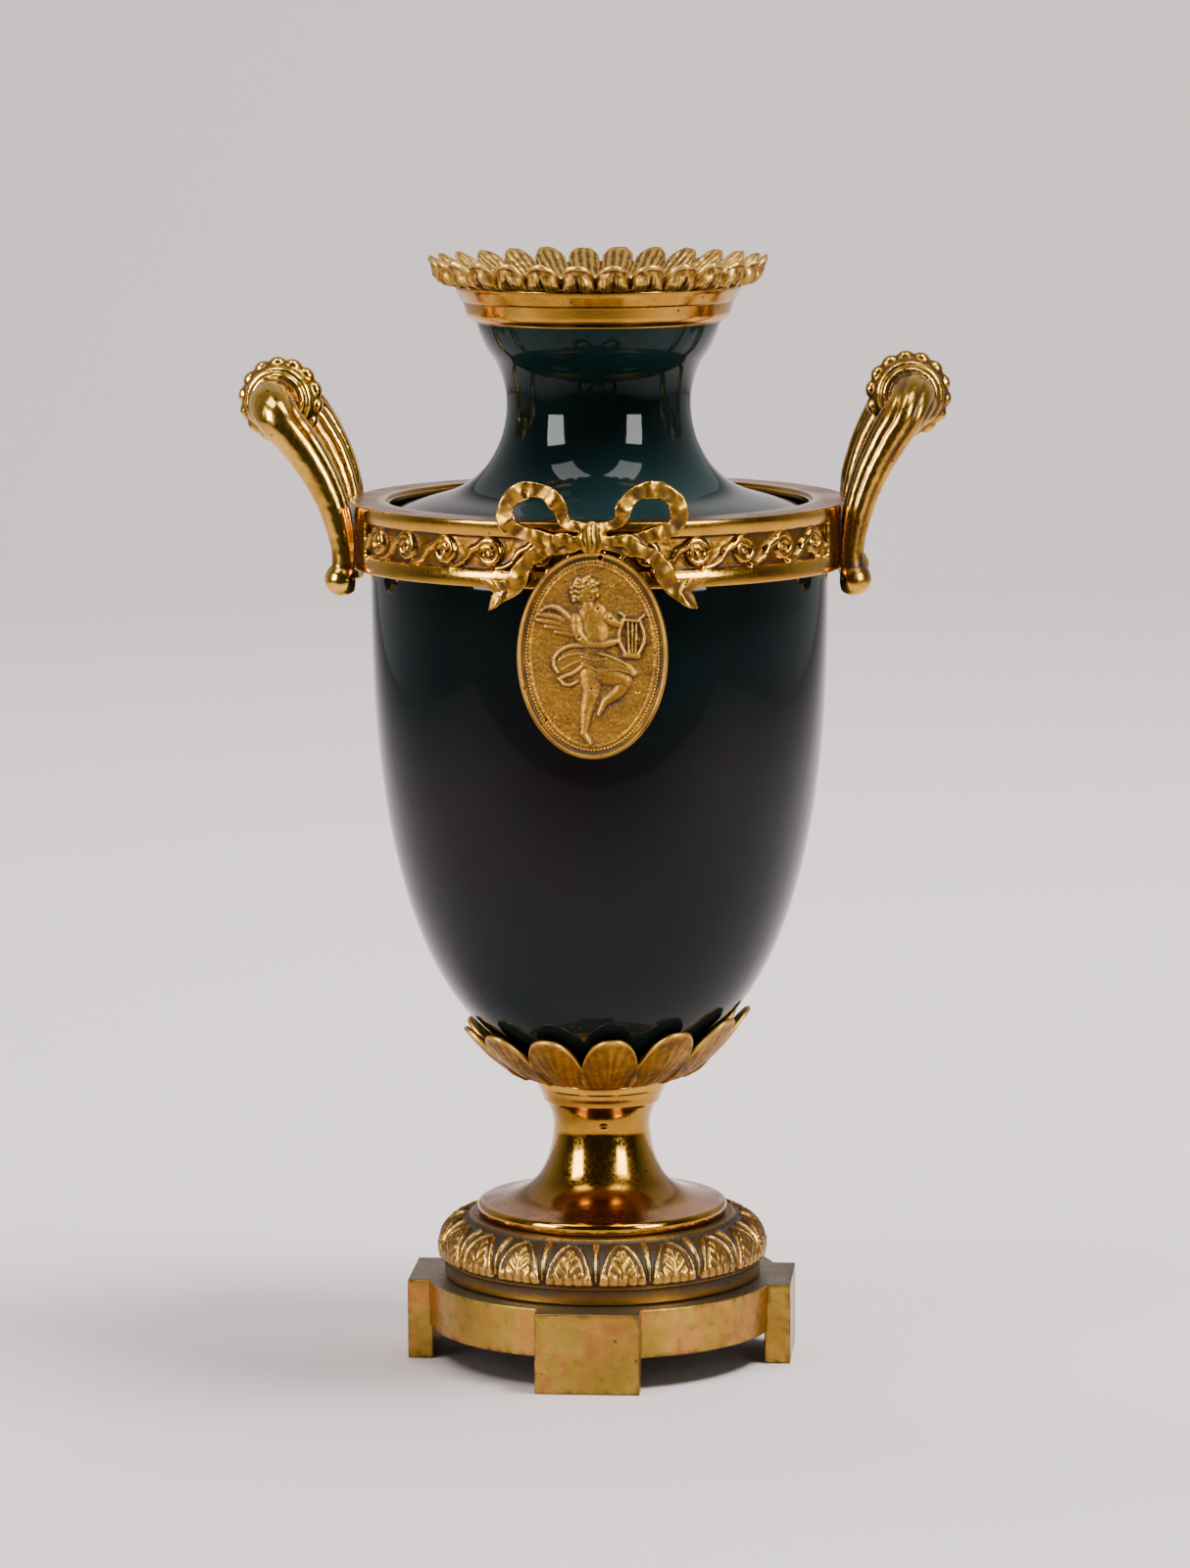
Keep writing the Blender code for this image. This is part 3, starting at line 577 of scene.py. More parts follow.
bodyLook = dict(
    steps=144, rows=42, rowPower=1.7, wall=3.5, sideZ=200.0, sideRadius=57.5, bottomZ=75.0,
    sidePower=2.5, sideRound=0.38, footRadius=12.0, footEdge=0.35, footSolid=6.0, floorRadius=8.0,
    neck=((31.9, 271.2), (30.5, 263.4), (28.2, 257.4), (25.4, 253.0), (23.7, 248.0), (23.15, 243.2),
          (23.6, 238.4), (25.0, 233.4), (28.6, 227.2), (35.2, 221.9), (45.5, 218.6), (51.5, 216.2),
          (55.6, 210.6), (56.9, 205.6)),
    swell=0.10, swellSize=60.0, swellBelow=205.0,
)


def bodySide(z):
    look = bodyLook
    depth = np.clip((look["sideZ"] - z) / (look["sideZ"] - look["bottomZ"]), 0.0, 1.0)
    return look["sideRadius"] * (1.0 - depth ** look["sidePower"]) ** look["sideRound"]


def makeBody(metal):
    look = bodyLook
    low, high = boxOf("vase_body")
    foot, wall = low.z, look["wall"]
    drops = 1.0 - np.linspace(0.0, 1.0, look["rows"]) ** look["rowPower"]
    heights = foot + look["footEdge"] + (look["sideZ"] - foot) * drops[:-1]
    side = [(bodySide(z), z) for z in heights]
    neck = curveThrough(look["neck"], 5)
    outer = np.array(neck.tolist() + side + [(look["footRadius"], foot)])
    # the inside is the outside moved in by the wall
    inner = []
    for before, here, after in zip(outer, outer[1:], outer[2:]):
        along = (after - before) / max(np.linalg.norm(after - before), 1e-6)
        moved = here + np.array((along[1], -along[0])) * wall
        if moved[0] > look["footRadius"] and here[1] > foot + look["footSolid"]:
            inner.append(moved)
    mouth, edge = look["neck"][0]
    lip = [(mouth - wall + 0.4, edge + 0.3), (mouth - wall / 2, high.z), (mouth - 0.4, edge + 0.35)]
    floor = [(0.0, foot + wall + 1.0), (look["floorRadius"], foot + wall + 1.2)]
    outline = floor + inner[::-1] + lip + outer.tolist() + [(0.0, foot)]
    body = turned("vaseBody", outline, look["steps"], metal)
    points = pointsOf(body)
    swell = valueNoise(points, look["swellSize"], 3.0, 1)  # thrown by hand, so not quite true
    radius = np.maximum(radiusOf(points), 1e-6)
    belly = points[:, 2] < look["swellBelow"]
    scale = 1.0 - look["swell"] * np.maximum(swell, 0.0) / radius * belly
    points[:, :2] *= scale[:, None]
    placePoints(body, points)
    return settled(body, metal, "vase_body")


collarLook = dict(
    steps=168, seam=(-2.8, -0.2), backIn=5.0, backTop=(-3.4, -1.0),
    patina=0.16, patinaSize=6.0, upperDull=0.14,
    face=((0.0, 0.0, 0.3), (-0.25, -1.0, 0.5), (-1.0, -2.4, 1.2), (-1.75, -3.8, 0.3), (-2.15, -4.0, 0.25),
          (-2.45, -5.2, 1.0), (-3.0, -7.4, 1.4), (-3.9, -8.6, 0.6), (-4.9, -8.8, 0.3)),
    wear=dict(fineRounds=3, fineDepth=0.02, broadRounds=24, broadDepth=0.12, fineShare=0.4),
)


def makeCollar(metal):
    look = collarLook
    low, high = boxOf("rim_collar")
    seam = [(high.x + look["seam"][0], high.z + look["seam"][1], 0.0)]
    face = [(high.x + dr, high.z + dz, fillet) for dr, dz, fillet in look["face"]]
    back = [(high.x - look["backIn"], low.z, 0.1), (high.x - look["backIn"] - 0.2, low.z, 0.1),
            (high.x + look["backTop"][0], high.z + look["backTop"][1], 0.3)]
    outline = evened(filleted(seam + face + back + seam, 4), 0.5)
    collar = turned("rimCollar", outline, look["steps"], metal)
    place = pointsOf(collar)
    upper = smoothStep(high.z - 4.6, high.z - 3.4, place[:, 2])
    patina = look["patina"] * valueNoise(place * (1.0, 1.0, 1.6), look["patinaSize"], 71.0, 3)
    ageing(collar, look["wear"], 0.02 + look["upperDull"] * upper + patina)
    return settled(collar, metal, "rim_collar")


crownLook = dict(
    leaves=28, phase=7.0, across=26, topSteps=26, outerSteps=22, tipIn=4.3, tipDown=3.5, halfLeaf=0.46,
    ribs=4, ribHeight=0.75, valley=0.9,
    seat=(36.8, 273.45), inner=(31.0, 272.9), bottom=((34.0, 273.3), (31.0, 272.0)),
    lip=((0.12, -0.25), (0.15, -0.6), (0.0, -0.95), (-0.35, -1.25)),
    lobeAt=0.24, lobeHalf=0.22, lobeHeight=0.8, lobeFans=7, fanShare=0.34, groove=0.35, grooveHalf=0.10,
    outerValley=0.55, cup=0.5, wobble=0.42, wobbleSize=7.0, bite=0.22, biteSize=1.7, upFacingPaintedLight=0.22,
    wear=dict(fineRounds=4, fineDepth=0.045, broadRounds=22, broadDepth=0.26, fineShare=0.55),
)


def crownSector():
    look = crownLook
    low, high = boxOf("leaf_crown")
    tipRadius = (high.x - low.x) / 2 - 0.15
    offsets = np.linspace(-0.5, 0.5, look["across"] + 1)
    seat, inner = np.array(look["seat"]), np.array(look["inner"])
    s = np.linspace(0.0, 1.0, look["topSteps"])[:, None]
    t = np.linspace(0.0, 1.0, look["outerSteps"])[:, None]
    rows = []
    for u in offsets:
        beside = min(abs(u) / look["halfLeaf"], 1.0)
        rounding = 1.0 - math.sqrt(max(1.0 - beside ** 2.1, 0.0))
        tip = np.array((tipRadius - look["tipIn"] * rounding, high.z - look["tipDown"] * rounding))
        # the top: lengthwise ribs on a leaf that is a little dished
        slope = (tip - inner) / np.linalg.norm(tip - inner)
        up = np.array((-slope[1], slope[0]))
        rib = abs(math.cos(math.pi * look["ribs"] * u / (2 * look["halfLeaf"]))) ** 1.3
        valley = smoothStep(0.86, 1.0, abs(u) * 2.0)
        ribbed = look["ribHeight"] * (rib - 0.6) * smoothStep(0.05, 0.25, s)
        ribbed = ribbed * (1.0 - smoothStep(0.86, 1.0, s))
        dished = look["cup"] * (beside ** 2 - 0.4) * s * (1.0 - s ** 6)
        parted = look["valley"] * valley * smoothStep(0.1, 0.5, s) * (1 - s ** 8)
        top = inner + (tip - inner) * s + up * (ribbed + dished - parted)
        # the rim and the outside with its paired lobes
        rim = [tip + np.array(step) for step in look["lip"]]
        drop = rim[-1] + np.array((-0.35, -2.5 + 1.6 * rounding))
        toSeat = np.array((seat[0] + (rim[-1][0] - seat[0]) * 0.5, seat[1] + 0.3))
        under = rim[-1] * (1 - t) ** 3 + drop * 3 * t * (1 - t) ** 2
        under = under + toSeat * 3 * t * t * (1 - t) + seat * t ** 3
        fall = (seat - rim[-1]) / np.linalg.norm(seat - rim[-1])
        out = np.array((-fall[1], fall[0])) * (1 if -fall[1] > 0 else -1)
        side = (abs(u) - look["lobeAt"]) / look["lobeHalf"]
        lobe = max(1.0 - side * side, 0.0) ** 0.5
        fan = 1.0 + look["fanShare"] * math.cos(2 * math.pi * look["lobeFans"] * abs(u) / 0.5)
        shape = smoothStep(0.10, 0.42, t) * (1.0 - smoothStep(0.86, 1.0, t)) * fan
        middle = max(1.0 - (u / look["grooveHalf"]) ** 2, 0.0)
        groove = look["groove"] * middle * smoothStep(0.3, 0.6, t) * (1 - smoothStep(0.85, 1.0, t))
        parted = look["outerValley"] * valley * smoothStep(0.0, 0.3, t) * (1 - smoothStep(0.8, 1.0, t))
        outside = under + out * (look["lobeHeight"] * lobe * shape - groove - parted)
        rows.append(np.vstack((top, rim[:-1], outside, look["bottom"])))
    return sectorPiece("leafCrown", offsets * (360.0 / look["leaves"]), np.array(rows))


def makeCrown(metal):
    look = crownLook
    crown = cleaned(copiesRound(crownSector(), look["leaves"], look["phase"], metal))
    points = pointsOf(crown)
    # filed by hand: every leaf a little different
    reach = smoothStep(34.0, 42.0, radiusOf(points))[:, None]
    lumps = np.stack([valueNoise(points, look["wobbleSize"], seed, 2) for seed in (1.0, 2.0, 3.0)], axis=-1)
    bite = valueNoise(points, look["biteSize"], 4.0, 2)[:, None] * look["bite"] * normalsOf(crown)
    placePoints(crown, points - np.abs(lumps) * np.sign(points) * look["wobble"] * reach + bite)
    # painted light: faces turned upwards are given a lower age, so brighter gilt, as if lit from above
    dished = smoothStep(0.35, 0.75, normalsOf(crown)[:, 2])
    patina = 0.08 * valueNoise(pointsOf(crown), 3.0, 72.0, 2)
    ageing(crown, look["wear"], 0.08 - look["upFacingPaintedLight"] * dished + patina)
    return settled(crown, metal, "leaf_crown")


bandLook = dict(
    pitch=12.0, waves=11, columns=40, rows=30, friezeLow=207.3, friezeHigh=215.2, depth=1.5, border=0.45,
    midRadius=62.8, scrollRadius=3.25, scrollFrom=152.0, scrollSteps=40, scrollEnd=0.40, turns=1.30,
    line=0.74, relief=1.30, eye=1.30,
    padPlaces=(-18.0, -6.0, 6.0, 18.0), padColumns=12, padEdge=0.5,
    skirtRadius=58.1, ledgeZ=217.0, ledgeRadius=52.7, chased=0.05, chasedSize=1.1,
    groundShine=-0.04, flangeDull=0.18, faceDull=0.05, patina=0.10,
    wear=dict(fineRounds=3, fineDepth=0.05, broadRounds=26, broadDepth=0.22, fineShare=0.5),
)


def scrollHeight(x, y):
    # the raised line of one wave and of its neighbours, on a flat ground; x runs round, y up
    look = bandLook
    r = look["scrollRadius"]
    step = math.radians(look["pitch"]) * look["midRadius"]
    start = np.array(((-step + 0.62 * r, -1.12 * r), (-step + 1.3 * r, -0.98 * r),
                      (-step + 2.05 * r, -0.50 * r), (-1.55 * r, 0.12 * r)))
    first, steps = look["scrollFrom"], look["scrollSteps"]
    angles = np.radians(np.linspace(first, first - 360.0 * look["turns"], steps))
    shrink = np.linspace(1.0, look["scrollEnd"], steps) ** 0.9
    spiral = np.stack((np.cos(angles), np.sin(angles)), axis=-1) * (r * shrink)[:, None]
    line = resampled(curveThrough(np.vstack((start, spiral[::3])), 6), 110)
    height = np.zeros_like(x)
    for shift in (-step, 0.0, step):
        place = np.stack((x - shift, y), axis=-1)
        distance = np.full(x.shape, 1e3)
        along = np.zeros(x.shape)
        for index, (a, b) in enumerate(zip(line, line[1:])):
            ab = b - a
            t = np.clip(((place - a) @ ab) / (ab @ ab), 0.0, 1.0)
            away = np.linalg.norm(place - a - t[..., None] * ab, axis=-1)
            closer = away < distance
            distance = np.where(closer, away, distance)
            along = np.where(closer, index / len(line), along)
        width = 0.75 + 0.55 * smoothStep(0.0, 0.35, along) - 0.35 * smoothStep(0.7, 1.0, along)
        width = look["line"] * width
        ridge = np.clip(1.0 - (distance / width) ** 2, 0.0, 1.0) ** 0.5
        groove = 0.26 * np.exp(-((distance - width - 0.22) / 0.16) ** 2)
        body = 0.34 * smoothStep(1.5, 0.5, distance / (width + 0.35))
        eye = np.clip(1.0 - ((x - shift + 0.05) ** 2 + (y + 0.15) ** 2) / look["eye"] ** 2, 0.0, 1.0) ** 0.5
        crescent = np.exp(-((np.hypot(x - shift + 0.45, y - 0.35) - 0.55) / 0.2) ** 2) * eye
        wave = np.maximum(ridge * 0.78 + body, (eye * 0.95 - crescent * 0.22))
        height = np.maximum(height, wave - groove * (ridge <= 0.0))
    return height


def bandProfile():
    low, high = boxOf("shoulder_band")
    look = bandLook
    out, skirt, ledge = high.x, look["skirtRadius"], look["ledgeRadius"]
    friezeTop, friezeFoot = look["friezeHigh"] + look["border"], look["friezeLow"] - look["border"]
    upper = filleted([(out - 1.2, high.z, 0.0), (out, high.z, 0.7), (out, friezeTop, 0.0)], 5)
    frieze = [(out, z) for z in np.linspace(friezeTop, friezeFoot, look["rows"])]
    corners = [(out, friezeFoot, 0.0), (out, low.z, 0.45), (skirt, low.z, 0.3), (skirt, look["ledgeZ"], 0.2),
               (ledge, look["ledgeZ"], 0.25), (ledge, high.z - 0.75, 0.25), (ledge + 0.8, high.z - 0.7, 0.1),
               (ledge + 1.05, high.z, 0.2), (out - 1.2, high.z, 0.0)]
    lower = evened(filleted(corners, 2), 3.2)
    return np.vstack((upper, frieze[1:], lower[1:-1])), len(upper)


def bandSector(name, columns, heightAt):
    profile, first = bandProfile()
    look = bandLook
    offsets = np.linspace(-0.5, 0.5, columns + 1) * look["pitch"]
    sections = np.repeat(profile[None], len(offsets), axis=0)
    rows = slice(first - 1, first + look["rows"] - 1)
    z = profile[rows, 1]
    inside = smoothStep(look["friezeHigh"] + look["border"] * 0.6, look["friezeHigh"] - 0.1, z)
    inside = inside * smoothStep(look["friezeLow"] - look["border"] * 0.6, look["friezeLow"] + 0.1, z)
    middle = (look["friezeLow"] + look["friezeHigh"]) / 2
    x, y = np.meshgrid(np.radians(offsets) * profile[0, 0], z - middle, indexing="ij")
    sections[:, rows, 0] += inside * heightAt(x, y)
    return sectorPiece(name, offsets, sections)


def makeBand(metal):
    look = bandLook
    half = math.radians(look["pitch"] / 2) * look["midRadius"]

    def wave(x, y):
        return scrollHeight(x, y) * look["relief"] - look["depth"]

    def pad(side):
        # the plain ground behind a handle, up to the first wave on either side
        def sunk(x, y):
            toEdge = half + x * side if side else np.full_like(x, 9.0)
            return -look["depth"] * (1.0 - smoothStep(0.0, look["padEdge"], toEdge))
        return sunk

    parts = []
    for side in (0.0, 180.0):
        sector = bandSector("waves", look["columns"], wave)
        first = side - look["pitch"] * (look["waves"] - 1) / 2
        parts.append(copiesRound(sector, look["waves"], first, metal, look["pitch"]))
    for side in (90.0, 270.0):
        for place, end in zip(look["padPlaces"], (1, 0, 0, -1)):
            sector = bandSector("pad", look["columns"] if end else look["padColumns"], pad(end))
            parts.append(copiesRound(sector, 1, side + place, metal, look["pitch"]))
    band = cleaned(merged("shoulderBand", parts))
    points = pointsOf(band)
    radius = radiusOf(points)
    frieze = np.abs(points[:, 2] - (look["friezeLow"] + look["friezeHigh"]) / 2) < 4.2
    frieze = frieze & (radius > 60.0)
    chased = valueNoise(points[frieze], look["chasedSize"], 8.0, 2) * look["chased"]
    points[frieze] += normalsOf(band)[frieze] * chased[:, None]
    placePoints(band, points)
    ground = frieze & (radiusOf(points) < boxOf("shoulder_band")[1].x - 0.25)
    flange = (normalsOf(band)[:, 2] > 0.7) & (points[:, 2] > 218.0)
    dull = np.where(ground, look["groundShine"], np.where(flange, look["flangeDull"], look["faceDull"]))
    ageing(band, look["wear"], look["patina"] * valueNoise(points, 7.0, 9.0, 3) + dull)
    return settled(band, metal, "shoulder_band")


handleLook = dict(
    legSpread=16.5, legX=63.2, footZ=207.0, topZ=245.2, footRadius=2.9, barRadius=5.5,
    left=dict(side=-1, lean=16.6, drop=1.2, twist=2.6, reeds=(32.0, 82.0, 5), broadPower=6, ageAndPaintedLight=-0.12),
    right=dict(side=1, lean=14.4, drop=0.0, twist=1.6, reeds=(6.0, 25.0, 6), broadPower=3, ageAndPaintedLight=0.12),
    legHeights=(202.0, 209.0, 219.0, 228.0, 236.0), elbowZ=242.0, elbowSpread=15.6,
    broadDepth=0.14, narrowDepth=0.17, fullness=1.06, around=96, voxel=0.35,
    beads=14, firstBead=5.0, beadSize=(2.2, 1.55, 1.9), beadRing=9.45,
    ballRadius=4.35, ballX=63.8, ballZ=200.5, hubSteps=96,
    hub=((0.0, -3.4, 0.0), (4.9, -3.4, 0.4), (5.6, -4.7, 0.3), (6.5, -5.0, 0.4), (7.1, -4.4, 0.35),
         (7.3, -3.7, 0.2), (7.9, -3.9, 0.4), (8.7, -3.2, 0.45), (8.7, -2.3, 0.25), (9.2, -1.9, 0.4),
         (9.7, -1.1, 0.4)),
    dents=0.10, dentSize=3.2, patina=0.20, patinaSize=3.4, footDull=0.25,
    wear=dict(fineRounds=6, fineDepth=0.09, broadRounds=40, broadDepth=0.42, fineShare=0.5),
)


def legRise(z):
    look = handleLook
    return np.maximum((z - look["footZ"]) / (look["topZ"] - look["footZ"]), 0.0)


def legAxis(own, z):
    rise = legRise(z)
    return handleLook["legX"] + own["lean"] * rise ** 2, z - own["drop"] * rise ** 2


def handlePath(own):
    look = handleLook
    half = []
    for z in look["legHeights"]:
        x, height = legAxis(own, z)
        half.append((x, -look["legSpread"], height))
    elbowX, elbowZ = legAxis(own, look["elbowZ"])
    topX, topZ = legAxis(own, look["topZ"])
    half += [(elbowX, -look["elbowSpread"], elbowZ), (topX - 0.2, -11.4, topZ - 0.3), (topX, -5.0, topZ)]
    path = np.array(half + [(x, -y, z) for x, y, z in reversed(half)])
    twisted = own["twist"] * legRise(path[:, 2]) * path[:, 1] / look["legSpread"]
    path[:, 0] = own["side"] * (path[:, 0] - twisted)
    return curveThrough(path, 14), topX, topZ


def reedRadius(angles, share, own):
    # one broad rib on the outside and narrow reeds on the rest; share 0 is plain round
    look = handleLook
    broadAt, broadHalf, count = own["reeds"]
    offset = (np.degrees(angles) - broadAt + 180.0) % 360.0 - 180.0
    narrow = (360.0 - 2 * broadHalf) / count
    within = (((offset - broadHalf) % 360.0 / narrow) % 1.0) * 2.0 - 1.0
    broadFall = look["broadDepth"] * np.abs(offset / broadHalf) ** own["broadPower"]
    narrowFall = look["narrowDepth"] * np.abs(within) ** 2.6
    return look["fullness"] - np.where(np.abs(offset) <= broadHalf, broadFall, narrowFall) * share


def sweptSkin(name, path, outlineAt):
    # a closed skin along a path; outlineAt gives the outline's points round each path point
    rings = np.array([outlineAt(index) for index in range(len(path))])
    count, size = rings.shape[:2]
    faces = gridFaces(count, size, wrapColumns=True)
    points = np.vstack((rings.reshape(-1, 3), rings[0].mean(axis=0), rings[-1].mean(axis=0)))
    for ring, hub in ((0, count * size), ((count - 1) * size, count * size + 1)):
        faces += [(ring + j, ring + (j + 1) % size, hub) for j in range(size)]
    piece = newPiece(name, points, faces)
    return cleaned(piece, 0.0001)


def makeBail(own):
    look = handleLook
    side = own["side"]
    path, topX, topZ = handlePath(own)
    tangents = np.gradient(path, axis=0)
    tangents /= np.linalg.norm(tangents, axis=1)[:, None]
    outward = np.array((side, 0.0, 0.0)) - tangents * (tangents[:, 0] * side)[:, None]
    outward /= np.linalg.norm(outward, axis=1)[:, None]
    away = -side * np.cross(tangents, outward)
    angles = np.linspace(0.0, math.tau, look["around"], endpoint=False)
    rise = np.minimum(legRise(path[:, 2]), 1.0)
    radius = look["footRadius"] + (look["barRadius"] - look["footRadius"]) * rise
    # the reeds start above the ball and die away in the round knuckle
    fromMiddle = np.abs(path[:, 1])
    share = smoothStep(204.5, 211.0, path[:, 2]) * smoothStep(7.0, 15.5, fromMiddle)
    radius = radius * (1.0 - 0.10 * smoothStep(13.0, 6.0, fromMiddle))

    def outline(index):
        reach = (radius[index] * reedRadius(angles, share[index], own))[:, None]
        return path[index] + reach * (np.cos(angles)[:, None] * away[index]
                                      + np.sin(angles)[:, None] * outward[index])
    return sweptSkin("bail", path, outline), topX, topZ


def stretchedBall(name, centre, radii, segments=32, rings=20):
    bm = bmesh.new()
    bmesh.ops.create_uvsphere(bm, u_segments=segments, v_segments=rings, radius=mm)
    place = Matrix.Translation(Vector(centre) * mm) @ Matrix.Diagonal((*radii, 1.0))
    bmesh.ops.transform(bm, matrix=place, verts=bm.verts)
    return pieceFrom(name, bm)


def seatOnBand(points):
    # pressed flat where it is screwed against the band
    seat = boxOf("shoulder_band")[1].x + 0.3
    radius = radiusOf(points)
    inside = (radius < seat) & (points[:, 2] > 190.0) & (points[:, 2] < 226.0)
    points[inside, :2] *= (seat / radius[inside])[:, None]


def makeHandle(name, node, own, metal):
    look = handleLook
    side = own["side"]
    bail, topX, topZ = makeBail(own)
    half = filleted(look["hub"], 4)
    outline = np.vstack((half, half[::-1] * (1.0, -1.0)))
    hub = turned("hub", outline[::-1], look["hubSteps"], metal)
    bead = stretchedBall("bead", (0.0, -look["beadRing"], 0.0), look["beadSize"], 20, 14)
    beads = copiesRound(bead, look["beads"], look["firstBead"], metal)
    turn = Matrix.Rotation(side * math.atan(own["twist"] / look["legSpread"]), 4, "Z")
    laid = Matrix.Translation(Vector((side * topX, 0.0, topZ)) * mm)
    laid = laid @ turn @ Matrix.Rotation(math.pi / 2, 4, "X")
    for piece in (hub, beads):
        piece.data.transform(laid)
    balls = [stretchedBall("ball", (side * look["ballX"], leg * look["legSpread"], look["ballZ"]),
                           (look["ballRadius"],) * 3) for leg in (-1, 1)]
    handle = fused(merged(name, [bail, hub, beads] + balls), look["voxel"])
    points = relaxed(pointsOf(handle), edgesOf(handle), 1)
    placePoints(handle, points)
    dents = np.maximum(valueNoise(points, look["dentSize"], 5.0 + side, 2), 0.0) * look["dents"]
    points = pushedOut(handle, points, -dents)
    seatOnBand(points)
    placePoints(handle, points)
    low = smoothStep(209.0, 204.5, points[:, 2]) * (1.0 - smoothStep(203.5, 202.0, points[:, 2]))
    patina = look["patina"] * valueNoise(points * (1.0, 1.0, 0.45), look["patinaSize"], 7.0 + side, 3)
    ageing(handle, look["wear"], own["ageAndPaintedLight"] + look["footDull"] * low + patina)
    return settled(handle, metal, node)


ovalLook = dict(
    halfWidth=18.3, halfHeight=25.2, z=187.1, back=63.1, across=150, up=206,
    field=1.25, rim=1.5, rimRound=0.75, beads=150, beadIn=2.2, beadRadius=0.30, ringSteps=240,
    relief=1.05, curlRings=((1.7, 6, 1.0), (2.6, 9, 0.95), (3.3, 11, 0.62)), headAt=(-1.5, 15.7),
    curlFrom=38.0, curlSweep=185.0, curlHeight=1.15,
    pits=16, pitDepth=0.5, pinHole=(2.0, 23.9), pinDepth=1.4, grain=0.13, swell=0.12,
    wear=dict(fineRounds=3, fineDepth=0.075, broadRounds=22, broadDepth=0.24, fineShare=0.55),
)


# the winged child with a lyre, as strokes: (points of a line, radius at its start and end, height)
ovalForms = [
    (((-1.5, 15.2), (-1.1, 16.0)), 2.75, 2.7, 1.0),  # head
    (((-1.0, 12.4), (-0.6, 10.8)), 1.5, 1.9, 0.75),  # neck
    (((0.2, 9.4), (0.5, 6.2), (0.4, 2.2)), 3.7, 3.2, 0.85),  # trunk
    (((-4.0, 8.6), (-3.4, 5.6), (-1.2, 3.0)), 1.9, 1.45, 1.1),  # near arm
    (((-1.2, 3.0), (2.0, 2.7), (4.8, 3.3)), 1.45, 1.0, 1.15),  # forearm
    (((4.8, 3.3), (6.2, 3.7)), 1.05, 0.75, 1.2),  # hand
    (((3.6, 9.4), (5.2, 8.2), (7.0, 7.6)), 1.5, 0.95, 0.85),  # far arm
    (((-4.4, 7.8), (-6.6, 10.4), (-9.0, 12.0), (-11.2, 11.9), (-12.4, 11.0)), 1.0, 0.5, 0.8),  # wing
    (((-4.4, 7.2), (-8.6, 9.4), (-12.8, 10.2)), 1.3, 0.6, 0.58),  # feathers
    (((-4.4, 6.6), (-8.6, 8.0), (-13.1, 8.8)), 1.15, 0.55, 0.54),
    (((-4.4, 6.0), (-8.0, 6.8), (-11.2, 7.2)), 1.0, 0.5, 0.50),
    (((-4.2, 5.3), (-6.4, 5.6), (-8.8, 5.9)), 0.95, 0.45, 0.47),
    (((6.6, 10.6), (7.9, 9.6), (6.9, 7.0), (6.5, 3.8), (8.0, 0.6)), 0.48, 0.62, 0.95),  # lyre
    (((12.5, 9.9), (11.4, 9.0), (12.3, 6.4), (12.6, 3.6), (11.2, 0.6)), 0.48, 0.62, 0.95),
    (((7.2, 8.8), (11.6, 8.5)), 0.4, 0.4, 0.9),
    (((8.0, 0.2), (11.0, 0.0)), 0.9, 0.9, 0.95),
    (((8.6, 8.6), (8.9, 0.9)), 0.24, 0.24, 0.75),
    (((9.7, 8.6), (9.7, 0.9)), 0.24, 0.24, 0.75),
    (((10.7, 8.6), (10.4, 0.9)), 0.24, 0.24, 0.75),
    (((-0.6, -1.2), (2.0, -1.8), (4.6, -2.6)), 3.2, 2.8, 0.72),  # hips under drapery
    (((4.6, -2.2), (7.8, -2.8), (9.9, -4.2)), 2.3, 1.1, 0.7),
    (((-1.2, 2.4), (-4.8, 2.6), (-8.0, 1.2), (-9.6, -1.6), (-8.4, -4.0)), 0.7, 0.5, 0.78),  # blown cloak
    (((-2.4, -2.4), (-4.4, -4.0), (-8.0, -5.6), (-6.4, -7.2), (-4.0, -6.4)), 0.65, 0.5, 0.75),
    (((-3.2, -0.4), (-5.8, -1.0), (-7.6, -2.4)), 2.8, 2.2, 0.36),
    (((-2.2, 0.6), (-5.2, 0.4), (-8.0, -0.8)), 0.42, 0.35, 0.62),
    (((-2.4, -1.0), (-4.8, -1.8), (-7.2, -3.2)), 0.40, 0.35, 0.60),
    (((-0.2, -4.6), (-0.3, -9.4)), 2.9, 1.95, 0.85),  # standing leg
    (((-0.5, -9.6), (-1.4, -13.4), (-2.1, -18.2)), 2.0, 1.0, 0.8),
    (((-2.2, -18.8), (-0.6, -21.2)), 1.05, 0.75, 0.75),
    (((2.4, -4.2), (5.2, -5.0), (7.6, -6.0)), 2.8, 2.1, 0.95),  # bent leg
    (((7.6, -6.6), (6.2, -8.8), (3.4, -10.8)), 1.85, 1.2, 0.85),
    (((2.9, -11.2), (1.5, -14.2)), 1.0, 0.65, 0.75),
    (((-2.4, -1.8), (1.6, -3.6), (5.8, -3.2), (9.6, -4.4)), 0.42, 0.35, 0.95),  # folds of the skirt
    (((-1.6, -3.8), (2.0, -5.4), (4.8, -4.8)), 0.42, 0.35, 0.9),
    (((1.2, 0.8), (5.0, -0.4), (8.6, -2.2)), 0.42, 0.35, 0.9),
    (((-2.6, -0.2), (0.6, -0.9), (3.4, -0.6)), 0.42, 0.35, 0.9),
]


def formHeight(x, z, line, start, end, height):
    line = resampled(curveThrough(line, 5), 8 if len(line) > 2 else 2)
    best = np.zeros_like(x)
    for index, (a, b) in enumerate(zip(line, line[1:])):
        ab = b - a
        share = np.clip(((x - a[0]) * ab[0] + (z - a[1]) * ab[1]) / (ab @ ab), 0.0, 1.0)
        radius = start + (end - start) * (index + share) / (len(line) - 1)
        away = np.hypot(x - a[0] - share * ab[0], z - a[1] - share * ab[1])
        best = np.maximum(best, np.clip(1.0 - (away / radius) ** 2, 0.0, 1.0) ** 0.9)
    return best * height


